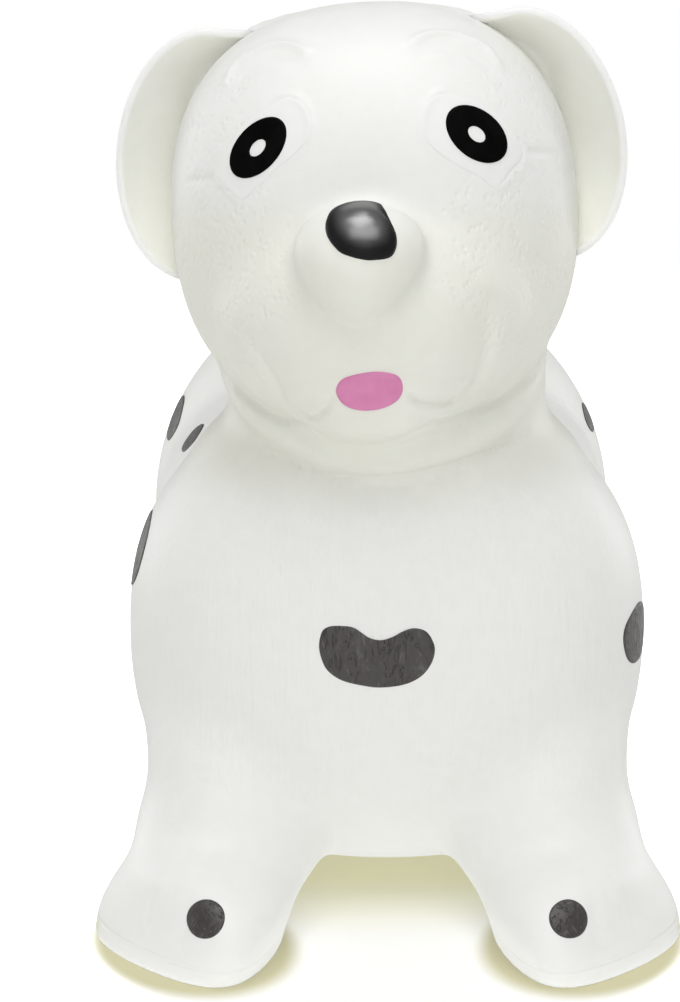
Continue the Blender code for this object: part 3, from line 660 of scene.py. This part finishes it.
# node, place along the torso, the way it faces, length, width, turn and phase of its wobble
coatSpots = {
    "leftFlankSpot": ("left_flank_spot", -0.136, beside(1, -2.5), 0.046, 0.0343, 0, 0.3),
    "rightFlankSpot": ("right_flank_spot", -0.108, beside(-1, 14), 0.044, 0.0480, 20, 1.4),
    "leftBackSpot": ("left_back_spot", 0.115, beside(1, 27), 0.026, 0.0203, 10, 2.2),
    "rightBackSpot": ("right_back_spot", 0.115, beside(-1, 27), 0.036, 0.0281, -15, 3.1),
    "rightShoulderSpot": ("right_shoulder_spot", 0.021, beside(-1, 32), 0.026, 0.0203, 0, 4.0),
}
rumpSpot = {"middle": (0.035, 0.2807, 0.170), "length": 0.044, "width": 0.0343, "phase": 5.0}
coatWobble = 0.05
lifts = {"white": 0.00035, "pupil": 0.0009, "pawSpot": 0.00045, "nose": 0.0008, "pink": 0.0006,
         "coat": 0.0005}  # how far a patch stands off the skin


def makePatches():
    made = {}

    def lay(name, node, finish, place, outline, lift=None, **form):
        made[name] = (makePatch(name, place, outline, lift or lifts[finish], **form), node, finish)

    for name in sides:
        lay(name + "EyeWhite", name + "_eye_white", "white", faceDrawing, flatOutline(eyeOutline[name], 5))
        one = pupils[name]
        oval = ovalOutline(one["length"] / 1000, one["width"] / 1000, one["turn"])
        oval = oval + np.array(one["middle"]) / 1000
        lay(name + "Pupil", name + "_pupil", "pupil", faceDrawing, oval, hole=glint)
        spot = patchPlace(pawSpot[name], ahead(pawSpot["facing"]))
        ring = ovalOutline(pawSpot["size"], pawSpot["size"], 0, pawSpot["wobble"], 1.0 + sides[name])
        lay(name + "PawSpot", name + "_paw_spot", "coat", spot, ring, lifts["pawSpot"])
    nosePlace = patchPlace(head @ Vector(nose["middle"]), ahead(nose["facing"]), headLean)
    lay("noseTip", "nose_tip", "nose", nosePlace, flatOutline(nose["outline"]), dome=nose["dome"])
    lay("tonguePatch", "tongue", "pink", faceDrawing, flatOutline(tongue["outline"]), dome=tongue["dome"])
    chest = patchPlace(kidney["middle"], ahead(0))
    lay("chestSpot", "chest_spot", "coat", chest, flatOutline(kidney["outline"], 5))
    for name, (node, along, facing, length, width, turn, phase) in coatSpots.items():
        middle = Vector((0, along, torsoMiddle["z"])) + facing * torsoMiddle["reach"]
        ring = ovalOutline(length, width, turn, coatWobble, phase)
        lay(name, node, "coat", patchPlace(middle, facing), ring)
    ring = ovalOutline(rumpSpot["length"], rumpSpot["width"], 0, coatWobble, rumpSpot["phase"])
    lay("rumpSpot", "rump_spot", "coat", patchPlace(rumpSpot["middle"], -ahead(0)), ring)
    return made


patches = makePatches()
print("patches laid:", len(patches))


# air plug

# its half outline in millimetres: radius, then height above the seat
plugShape = {"length": 0.0200, "bevel": 0.0002,
             "outline": [(0, 20), (5.12, 20), (6.4, 19.4), (8, 17), (8, 13.2), (7.4, 12.5), (7.4, 11.5),
                         (8, 10.8), (8, 0.4), (8.4, 0), (12.1, 0), (12.5, -0.5), (12.5, -1.4), (11.5, -2.6),
                         (5.8, -2.6), (4.6, -3.2), (4.9, -4.5), (4.0, -5.2), (0, -5.2)]}


def makePlug():
    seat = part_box("air_plug")[1].z - plugShape["length"]
    bm = bmesh.new()
    spunProfile(bm, [(r / 1000, 0, z / 1000) for r, z in plugShape["outline"]], 72)
    bmesh.ops.remove_doubles(bm, verts=bm.verts, dist=0.00002)
    bmesh.ops.recalc_face_normals(bm, faces=bm.faces)
    bm.transform(Matrix.Translation((*plugForm["middle"], seat)))
    plug = linked("airPlug", meshFrom(bm, "airPlug"))
    soft = plug.modifiers.new("edges", "BEVEL")
    soft.width = plugShape["bevel"]
    soft.segments = 2
    settled(plug)
    plug.data.shade_smooth()
    return plug


plug = makePlug()


# how sheltered each point is, which sets where shade is painted into the vinyl's colour, and where the
# moulded fur marks are

shelter = {"rays": 28, "reach": 0.16, "start": 0.0015, "fall": 0.6, "probeGrain": 0.008, "probeLift": 0.002,
           "neighbours": 5, "soften": 0.003}
lowerFaceShade = {"most": 0.36, "low": (0.205, 0.265), "high": (0.375, 0.440), "front": (0.0, 0.06)}
furForm = {"eyeGap": 0.018, "eyeHeights": (0.005, 0.040), "mouthGap": 0.020, "mouthHeights": (-0.055, -0.025),
           "side": (0.026, 0.046), "low": (-0.085, -0.060), "high": (0.075, 0.095), "neck": (0.280, 0.300),
           "strokesLow": (0.05, 0.09), "strokesHigh": (0.235, 0.265)}


def hemisphere(count):
    golden = math.pi * (3 - math.sqrt(5))
    rays = []
    for k in range(count):
        rise = math.sqrt(1 - (k + 0.5) / count)
        out = math.sqrt(1 - rise * rise)
        rays.append(Vector((out * math.cos(golden * k), out * math.sin(golden * k), rise)))
    return rays


def shelterAt(tree, point, normal, rays):
    turn = normal.to_track_quat("Z", "Y")
    start = point + normal * shelter["start"]
    total = 0.0
    for ray in rays:
        gap = tree.ray_cast(start, turn @ ray, shelter["reach"])[3]
        if gap is not None:
            total += 1 - shelter["fall"] * gap / shelter["reach"]
    return total / len(rays)


def setMark(thing, name, values):
    mark = thing.data.attributes.new(name, "FLOAT", "POINT")
    mark.data.foreach_set("value", np.array(values, np.float32))


def markPaintedShade():  # painted shade: the skin's own hollows, and those of the ears beside the skin, get a shade tone in their colour
    rays = hemisphere(shelter["rays"])
    probe = linked("probe", skin.data.copy())
    coarse = probe.modifiers.new("coarse", "REMESH")
    coarse.mode = "VOXEL"
    coarse.voxel_size = shelter["probeGrain"]
    settled(probe)
    points = probe.data.vertices
    finder = KDTree(len(points))
    for vert in points:
        finder.insert(vert.co, vert.index)
    finder.balance()
    lift = shelter["probeLift"]
    depth = [shelterAt(skinTree, vert.co + vert.normal * lift, vert.normal, rays) for vert in points]
    values = []
    for vert in skin.data.vertices:
        found = finder.find_n(vert.co, shelter["neighbours"])
        weights = [1 / (gap + shelter["soften"]) for _, _, gap in found]
        values.append(sum(w * depth[i] for w, (_, i, _) in zip(weights, found)) / sum(weights))
    _, y, z = placesOf(skin.data).T  # painted shade: the lower face and the neck are tinted toward the painted shade tone
    lowerShade = lowerFaceShade["most"] * smoothRamp(z, *lowerFaceShade["low"]) * (1 - smoothRamp(z, *lowerFaceShade["high"]))
    setMark(skin, "paintedShadeMask", np.hypot(values, lowerShade * smoothRamp(-y, *lowerFaceShade["front"])))
    bpy.data.objects.remove(probe)
    tree = treeOf(skin.data, ears["left"].data, ears["right"].data)
    for ear in ears.values():
        setMark(ear, "paintedShadeMask", [shelterAt(tree, vert.co, vert.normal, rays) for vert in ear.data.vertices])


def markFur():
    co = placesOf(skin.data)
    x, _, z = inHead(co).T
    form = furForm
    wide = form["eyeGap"] * smoothRamp(z, *form["eyeHeights"])
    wide = wide + form["mouthGap"] * (1 - smoothRamp(z, *form["mouthHeights"]))
    fur = smoothRamp(np.abs(x) - wide, *form["side"]) * smoothRamp(z, *form["low"])
    fur *= (1 - smoothRamp(z, *form["high"])) * smoothRamp(co[:, 2], *form["neck"])
    setMark(skin, "furMark", fur)
    strokes = smoothRamp(co[:, 2], *form["strokesLow"]) * (1 - smoothRamp(co[:, 2], *form["strokesHigh"]))
    setMark(skin, "strokeMark", strokes)


markPaintedShade()
markFur()
print("shelter and fur marked")


# materials

def addNode(tree, kind, values=None, **settings):
    node = tree.nodes.new(kind)
    for name, value in settings.items():
        setattr(node, name, value)
    for name, value in (values or {}).items():
        node.inputs[name].default_value = value
    return node


def ramped(tree, source, low, high, start=0.0, end=1.0):
    values = {"From Min": low, "From Max": high, "To Min": start, "To Max": end}
    node = addNode(tree, "ShaderNodeMapRange", values, interpolation_type="SMOOTHSTEP")
    tree.links.new(source, node.inputs["Value"])
    return node.outputs["Result"]


def fed(tree, socket, value):
    if isinstance(value, (int, float, tuple)):
        socket.default_value = value
    else:
        tree.links.new(value, socket)


def combined(tree, operation, first, second=0):
    node = addNode(tree, "ShaderNodeMath", operation=operation)
    fed(tree, node.inputs[0], first)
    fed(tree, node.inputs[1], second)
    return node.outputs[0]


def mixedColour(tree, share, first, second, blend="MIX"):
    node = addNode(tree, "ShaderNodeMix", data_type="RGBA", blend_type=blend)
    fed(tree, node.inputs["Factor"], share)
    fed(tree, node.inputs[6], first)
    fed(tree, node.inputs[7], second)
    return node.outputs[2]


def newGroup(name, inputs, outputs):
    group = bpy.data.node_groups.new(name, "ShaderNodeTree")
    for label, kind in inputs:
        group.interface.new_socket(label, in_out="INPUT", socket_type="NodeSocket" + kind)
    for label, kind in outputs:
        group.interface.new_socket(label, in_out="OUTPUT", socket_type="NodeSocket" + kind)
    return group, group.nodes.new("NodeGroupInput"), group.nodes.new("NodeGroupOutput")


filmOutputs = [("Color", "Color"), ("Roughness", "Float"), ("Height", "Float")]


def sentOut(tree, out, *values):
    for value, socket in zip(values, out.inputs):
        tree.links.new(value, socket)
    return tree


def stretched(tree, scale=(1, 1, 1), turn=(0, 0, 0)):
    place = addNode(tree, "ShaderNodeTexCoord")
    node = addNode(tree, "ShaderNodeMapping", {"Scale": scale, "Rotation": turn})
    tree.links.new(place.outputs["Object"], node.inputs["Vector"])
    return node.outputs["Vector"]


def noiseOf(tree, vector, scale, detail=2.0, distortion=0.0):
    node = addNode(tree, "ShaderNodeTexNoise", {"Scale": scale, "Detail": detail, "Distortion": distortion})
    tree.links.new(vector, node.inputs["Vector"])
    return node.outputs["Fac"]


def vinylToneGroup():
    tree, given, out = newGroup("vinylTone", [("Pale", "Color"), ("PaintedShadeTone", "Color"), ("PaintedShadeMask", "Float")],
                                filmOutputs[:2])
    place = stretched(tree)
    cloud = noiseOf(tree, place, 14, 3)
    fleck = noiseOf(tree, place, 120, 3)
    # painted shade: the pale vinyl turns to the painted shade tone where the shade mask is high, with a
    # little random tone
    depth = combined(tree, "ADD", given.outputs["PaintedShadeMask"], ramped(tree, cloud, 0.3, 0.7, -0.015, 0.015))
    depth = ramped(tree, depth, 0.16, 0.78)
    paintedShadeTone = mixedColour(tree, depth, given.outputs["Pale"], given.outputs["PaintedShadeTone"])
    tint = mixedColour(tree, ramped(tree, fleck, 0.30, 0.72), (0.985, 0.985, 0.980, 1), (1.0, 1.0, 1.0, 1))
    fine, broad = ramped(tree, fleck, 0.3, 0.7, 0.40, 0.50), ramped(tree, cloud, 0.3, 0.7, -0.03, 0.03)
    tone = mixedColour(tree, 1.0, paintedShadeTone, tint, "MULTIPLY")
    return sentOut(tree, out, tone, combined(tree, "ADD", fine, broad))


def vinylReliefGroup():
    tree, given, out = newGroup("vinylRelief", [("Fur", "Float"), ("Strokes", "Float")], filmOutputs[2:])
    place = stretched(tree)
    warp = addNode(tree, "ShaderNodeTexNoise", {"Scale": 45.0, "Detail": 2.0})
    tree.links.new(place, warp.inputs["Vector"])
    shift = addNode(tree, "ShaderNodeVectorMath", operation="MULTIPLY_ADD")
    shift.inputs[1].default_value = (0.006, 0.006, 0.006)
    tree.links.new(warp.outputs["Color"], shift.inputs[0])
    tree.links.new(place, shift.inputs[2])
    dash = addNode(tree, "ShaderNodeMapping", {"Scale": (1.0, 1.0, 0.72), "Rotation": (0.0, 0.6, 0.0)})
    tree.links.new(shift.outputs[0], dash.inputs["Vector"])
    cells = addNode(tree, "ShaderNodeTexVoronoi", {"Scale": 300.0, "Randomness": 1.0})
    tree.links.new(dash.outputs["Vector"], cells.inputs["Vector"])
    patchy = ramped(tree, noiseOf(tree, place, 60, 2), 0.25, 0.60)
    dimple = ramped(tree, cells.outputs["Distance"], 0.02, 0.62, -0.60, 0.0)
    fur = combined(tree, "MULTIPLY", combined(tree, "MULTIPLY", dimple, patchy), given.outputs["Fur"])
    hair = noiseOf(tree, stretched(tree, (300, 300, 18)), 1.0, 3, 0.4)
    hairs = combined(tree, "MULTIPLY", ramped(tree, hair, 0.30, 0.70, 0.0, 0.30), given.outputs["Strokes"])
    peel = ramped(tree, noiseOf(tree, place, 900, 1), 0.2, 0.8, 0.0, 0.05)
    height = addNode(tree, "ShaderNodeSeparateXYZ")
    tree.links.new(place, height.inputs[0])
    fromSeam = combined(tree, "ABSOLUTE", combined(tree, "SUBTRACT", height.outputs["Z"], 0.0095))
    seam = ramped(tree, fromSeam, 0.0003, 0.0016, -0.55, 0.0)
    total = combined(tree, "ADD", combined(tree, "ADD", fur, hairs), combined(tree, "ADD", peel, seam))
    return sentOut(tree, out, total)


def coatGrainGroup():
    tree, given, out = newGroup("coatGrain", [("Dark", "Color"), ("WornAndSheen", "Color")], filmOutputs)
    lines = noiseOf(tree, stretched(tree, (210, 210, 70), (0.1, 0.4, 0.1)), 1.0, 2, 1.6)
    groove = ramped(tree, lines, 0.36, 0.44)
    fleck = noiseOf(tree, stretched(tree), 260, 4)
    # lighter strokes along the lines: partly wear, partly a painted sheen standing in for highlights on the
    # strokes
    rubAndSheen = combined(tree, "MULTIPLY", ramped(tree, fleck, 0.35, 0.75), ramped(tree, lines, 0.56, 0.66))
    tone = mixedColour(tree, rubAndSheen, given.outputs["Dark"], given.outputs["WornAndSheen"])
    height = combined(tree, "ADD", groove, ramped(tree, fleck, 0.3, 0.7, 0.0, 0.12))
    return sentOut(tree, out, tone, ramped(tree, fleck, 0.3, 0.7, 0.38, 0.55), height)


def paintFilmGroup():
    inputs = [("Paint", "Color"), ("Thin", "Color"), ("Gloss", "Float")]
    tree, given, out = newGroup("paintFilm", inputs, filmOutputs)
    place = stretched(tree)
    cloud = noiseOf(tree, place, 90, 3)
    speck = noiseOf(tree, place, 600, 2)
    paint = mixedColour(tree, ramped(tree, cloud, 0.35, 0.75), given.outputs["Paint"], given.outputs["Thin"])
    gloss = combined(tree, "ADD", given.outputs["Gloss"], ramped(tree, cloud, 0.3, 0.7, -0.04, 0.05))
    return sentOut(tree, out, paint, gloss, ramped(tree, speck, 0.2, 0.8))


groups = {"tone": vinylToneGroup(), "relief": vinylReliefGroup(), "coat": coatGrainGroup(),
          "film": paintFilmGroup()}


def newFinish(name, fixed):
    material = bpy.data.materials.new(name)
    material.use_nodes = True
    surface = material.node_tree.nodes["Principled BSDF"]
    for socket, value in fixed.items():
        surface.inputs[socket].default_value = value
    return material, material.node_tree, surface


def groupNode(tree, group, values):
    node = tree.nodes.new("ShaderNodeGroup")
    node.node_tree = group
    for name, value in values.items():
        node.inputs[name].default_value = value
    return node


def bumped(tree, surface, height, strength, depth):
    bump = addNode(tree, "ShaderNodeBump", {"Strength": strength, "Distance": depth})
    tree.links.new(height, bump.inputs["Height"])
    tree.links.new(bump.outputs["Normal"], surface.inputs["Normal"])


def driven(tree, group, surface):
    tree.links.new(group.outputs["Color"], surface.inputs["Base Color"])
    tree.links.new(group.outputs["Roughness"], surface.inputs["Roughness"])


def readMark(tree, name):
    return addNode(tree, "ShaderNodeAttribute", attribute_name=name).outputs["Fac"]


# The skin's second tone is painted shade: darker and yellower in its hollows, on the lower face and on the
# neck.
vinyl = {"pale": (0.838, 0.841, 0.818, 1), "paintedShadeTone": (0.72, 0.72, 0.52, 1), "bump": 0.55, "depth": 0.0011,
         "earPaintedLitPale": (0.885, 0.89, 0.868, 1), "earPaintedLightAndShade": (0.95, 0.955, 0.80, 1), "through": 0.030}


def vinylFinish(name, marked, through):
    fixed = {"Metallic": 0.0, "IOR": 1.47, "Specular IOR Level": 0.38, "Subsurface Weight": through,
             "Subsurface Scale": vinyl["through"], "Subsurface Radius": (1.0, 1.0, 0.92)}
    material, tree, surface = newFinish(name, fixed)
    # the ears get painted light: a brighter copy of the vinyl, brighter and yellower still in their hollows
    pale, paintedShadeTone = (vinyl[key] for key in (("pale", "paintedShadeTone") if marked else ("earPaintedLitPale", "earPaintedLightAndShade")))
    tone = groupNode(tree, groups["tone"], {"Pale": pale, "PaintedShadeTone": paintedShadeTone})
    tree.links.new(readMark(tree, "paintedShadeMask"), tone.inputs["PaintedShadeMask"])
    driven(tree, tone, surface)
    texture = groupNode(tree, groups["relief"], {"Fur": 0.0, "Strokes": 0.0})
    if marked:
        tree.links.new(readMark(tree, "furMark"), texture.inputs["Fur"])
        tree.links.new(readMark(tree, "strokeMark"), texture.inputs["Strokes"])
    bumped(tree, surface, texture.outputs["Height"], vinyl["bump"], vinyl["depth"])
    return material


# the second coat tone is partly wear and partly painted sheen
coatTones = {"Dark": (0.029, 0.024, 0.021, 1), "WornAndSheen": (0.085, 0.077, 0.072, 1)}


def coatFinish():
    material, tree, surface = newFinish("coatBlack", {"Metallic": 0.0, "Specular IOR Level": 0.8})
    coat = groupNode(tree, groups["coat"], coatTones)
    driven(tree, coat, surface)
    bumped(tree, surface, coat.outputs["Height"], 0.7, 0.0012)
    return material


def paintFinish(name, paint, thin, gloss, specular):
    material, tree, surface = newFinish(name, {"Metallic": 0.0, "Specular IOR Level": specular})
    film = groupNode(tree, groups["film"], {"Paint": paint, "Thin": thin, "Gloss": gloss})
    driven(tree, film, surface)
    bumped(tree, surface, film.outputs["Height"], 0.08, 0.0004)
    return material


def eyeFinish():  # white that fades into the vinyl at its rim
    material = paintFinish("eyeWhite", (0.845, 0.845, 0.838, 1), (0.83, 0.83, 0.822, 1), 0.40, 0.35)
    tree = material.node_tree
    surface = tree.nodes["Principled BSDF"]
    film = surface.inputs["Base Color"].links[0].from_socket
    faded = mixedColour(tree, ramped(tree, readMark(tree, "reach"), 0.70, 1.0), film, vinyl["pale"])
    tree.links.new(faded, surface.inputs["Base Color"])
    return material


def noseFinish():  # a clear gloss that stops short of the rim
    material = paintFinish("noseBlack", (0.010, 0.010, 0.011, 1), (0.014, 0.014, 0.015, 1), 0.45, 0.10)
    tree = material.node_tree
    surface = tree.nodes["Principled BSDF"]
    surface.inputs["Coat Roughness"].default_value = 0.30
    surface.inputs["Coat IOR"].default_value = 2.2
    tree.links.new(ramped(tree, readMark(tree, "reach"), 0.45, 0.82, 1.0, 0.0), surface.inputs["Coat Weight"])
    return material


finishes = {
    "skin": vinylFinish("whiteVinyl", True, 0.0),
    "ear": vinylFinish("whiteVinylEarPaintedLight", False, 0.8),
    "coat": coatFinish(),
    "pupil": paintFinish("glossBlack", (0.0015, 0.0012, 0.0012, 1), (0.003, 0.0025, 0.0025, 1), 0.48, 0.04),
    "nose": noseFinish(),
    "white": eyeFinish(),
    "pink": paintFinish("tonguePink", (0.70, 0.25, 0.46, 1), (0.64, 0.21, 0.41, 1), 0.42, 0.35),
    "plug": paintFinish("plugVinyl", (0.86, 0.86, 0.83, 1), (0.81, 0.81, 0.77, 1), 0.45, 0.4),
}


def dressed(thing, finish):
    thing.data.materials.clear()
    thing.data.materials.append(finishes[finish])


dressed(skin, "skin")
for ear in ears.values():
    dressed(ear, "ear")
dressed(plug, "plug")
for patch, node, finish in patches.values():
    dressed(patch, finish)
print("finishes set:", len(finishes))


# what each piece stands for and rides on

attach(skin, "skin")
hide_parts("body_skin")
for name, side in sides.items():
    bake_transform(ears[name])
    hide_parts(name + "_ear")
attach(plug, "plug")
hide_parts("air_plug")
for patch, node, finish in patches.values():
    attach(patch, "skin")
    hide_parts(node)


# studio: a flat pale floor, a white surround and soft lamps

floorForm = {"radius": 2.4, "height": -0.0004, "tone": (0.95, 0.95, 0.93, 1), "ragged": 0.006,
             "nearSeen": 0.10, "bounce": 0.30, "footprint": (0.08, 0.27), "glowStart": 0.02, "glowEnd": 0.09}
# floorShade is a painted shadow under the belly and pawShade a painted shadow round each front paw; both
# darken the floor's colour for the camera only
floorShade = {"tone": (0.76, 0.73, 0.44, 1), "middle": 0.05, "half": (0.06, 0.15), "reach": 0.12}
pawShade = {"tone": (0.54, 0.51, 0.30, 1), "middle": (0.1055, -0.212), "half": (0.0515, 0.075), "turn": 14,
            "start": 0.92, "end": 1.19}


def makeFloor():  # its height keeps it just clear of the soles
    bm = bmesh.new()
    bmesh.ops.create_circle(bm, cap_ends=True, segments=96, radius=floorForm["radius"])
    bm.transform(Matrix.Translation((0, 0, floorForm["height"])))
    floor = linked("studioFloor", meshFrom(bm, "studioFloor"))
    material, tree, surface = newFinish("floorPaper", {"Roughness": 0.9, "Specular IOR Level": 0.0,
                                                       "Emission Strength": 1.0})
    paper = noiseOf(tree, stretched(tree), 3, 2)
    seen = tree.nodes.new("ShaderNodeLightPath").outputs["Is Camera Ray"]

    def maths(operation, first, second=0):
        return combined(tree, operation, first, second)

    def floorPlace():
        parts = addNode(tree, "ShaderNodeSeparateXYZ")
        tree.links.new(stretched(tree), parts.inputs[0])
        return parts.outputs["X"], parts.outputs["Y"]

    def beyond(half, middle=0.0):  # how far a point of the floor lies outside this rectangle
        x, y = floorPlace()
        squares = []
        for at, size in zip((x, maths("SUBTRACT", y, middle)), half):
            gap = maths("MAXIMUM", maths("SUBTRACT", maths("ABSOLUTE", at), size))
            squares.append(maths("MULTIPLY", gap, gap))
        ragged = ramped(tree, paper, 0.3, 0.7, -floorForm["ragged"], floorForm["ragged"])
        return maths("ADD", maths("SQRT", maths("ADD", *squares)), ragged)

    def paintedPawShadow():  # painted contact shadow: the dark rim round a front paw, painted on the floor
        x, y = floorPlace()
        x = maths("SUBTRACT", maths("ABSOLUTE", x), pawShade["middle"][0])
        y = maths("SUBTRACT", y, pawShade["middle"][1])
        turn = math.radians(pawShade["turn"])
        c, s = math.cos(turn), math.sin(turn)
        across = maths("SUBTRACT", maths("MULTIPLY", x, c), maths("MULTIPLY", y, s))
        along = maths("ADD", maths("MULTIPLY", x, s), maths("MULTIPLY", y, c))
        flat = addNode(tree, "ShaderNodeCombineXYZ")
        tree.links.new(maths("DIVIDE", across, pawShade["half"][0]), flat.inputs["X"])
        tree.links.new(maths("DIVIDE", along, pawShade["half"][1]), flat.inputs["Y"])
        reach = addNode(tree, "ShaderNodeVectorMath", operation="LENGTH")
        tree.links.new(flat.outputs[0], reach.inputs[0])
        return ramped(tree, reach.outputs["Value"], pawShade["start"], pawShade["end"], 1.0, 0.0)

    shaded = ramped(tree, beyond(floorShade["half"], floorShade["middle"]), 0, floorShade["reach"], 1.0, 0.0)
    tone = mixedColour(tree, maths("MULTIPLY", shaded, seen), floorForm["tone"], floorShade["tone"])
    paintedContactShadow = maths("MULTIPLY", paintedPawShadow(), seen)
    tree.links.new(mixedColour(tree, paintedContactShadow, tone, pawShade["tone"]), surface.inputs["Base Color"])
    # the floor glows: to the camera it is white beyond the puppy's footprint and faint near it; to other rays
    # it glows near the puppy as painted bounce light on the belly
    far = ramped(tree, beyond(floorForm["footprint"]), floorForm["glowStart"], floorForm["glowEnd"])
    far = maths("MULTIPLY", far, maths("SUBTRACT", 1, paintedPawShadow()))
    hidden = maths("MULTIPLY", ramped(tree, far, 0, 1, floorForm["bounce"], 0.0), maths("SUBTRACT", 1, seen))
    shown = maths("MULTIPLY", ramped(tree, far, 0, 1, floorForm["nearSeen"], 1.0), seen)
    tree.links.new(maths("ADD", hidden, shown), surface.inputs["Emission Color"])
    floor.data.materials.append(material)


surround = {"plain": 0.46, "reflected": 0.40}


def makeSurround():  # white to the camera, dimmer as a light
    world = bpy.data.worlds.new("surround")
    bpy.context.scene.world = world
    world.use_nodes = True
    tree = world.node_tree
    shine = tree.nodes["Background"]
    path = tree.nodes.new("ShaderNodeLightPath")
    seen = combined(tree, "MAXIMUM", path.outputs["Is Camera Ray"], path.outputs["Is Transmission Ray"])
    plain = ramped(tree, path.outputs["Is Glossy Ray"], 0, 1, surround["plain"], surround["reflected"])
    shine.inputs["Color"].default_value = (1, 1, 1, 1)
    tree.links.new(combined(tree, "MAXIMUM", seen, plain), shine.inputs["Strength"])


# place, aim, size and power
lamps = {
    "topSoftbox": ((-0.1, -0.25, 2.4), (0, -0.2, 0.25), (0.9, 0.9), 12),
    "keySoftbox": ((0.05, -1.55, 2.5), (0, -0.1, 0.3), (2.0, 1.6), 21),
    "fillSoftbox": ((0, -2.5, 0.9), (0, -0.1, 0.3), (1.2, 1.0), 8.5),
    "leftSoftbox": ((1.9, 1.45, 0.55), (0, 0, 0.2), (1.2, 1.2), 11),
    "rightSoftbox": ((-1.9, 1.45, 0.55), (0, 0, 0.2), (1.2, 1.2), 11),
}


def makeLamp(name, place, aim, size, power):
    lamp = bpy.data.lights.new(name, "AREA")
    lamp.shape = "RECTANGLE"
    lamp.size, lamp.size_y = size
    lamp.energy = power
    thing = linked(name, lamp)
    thing.location = place
    thing.rotation_euler = (Vector(aim) - Vector(place)).to_track_quat("-Z", "Y").to_euler()


bpy.context.scene.view_settings.view_transform = "Standard"
makeFloor()
makeSurround()
for name, form in lamps.items():
    makeLamp(name, *form)
print("studio set")
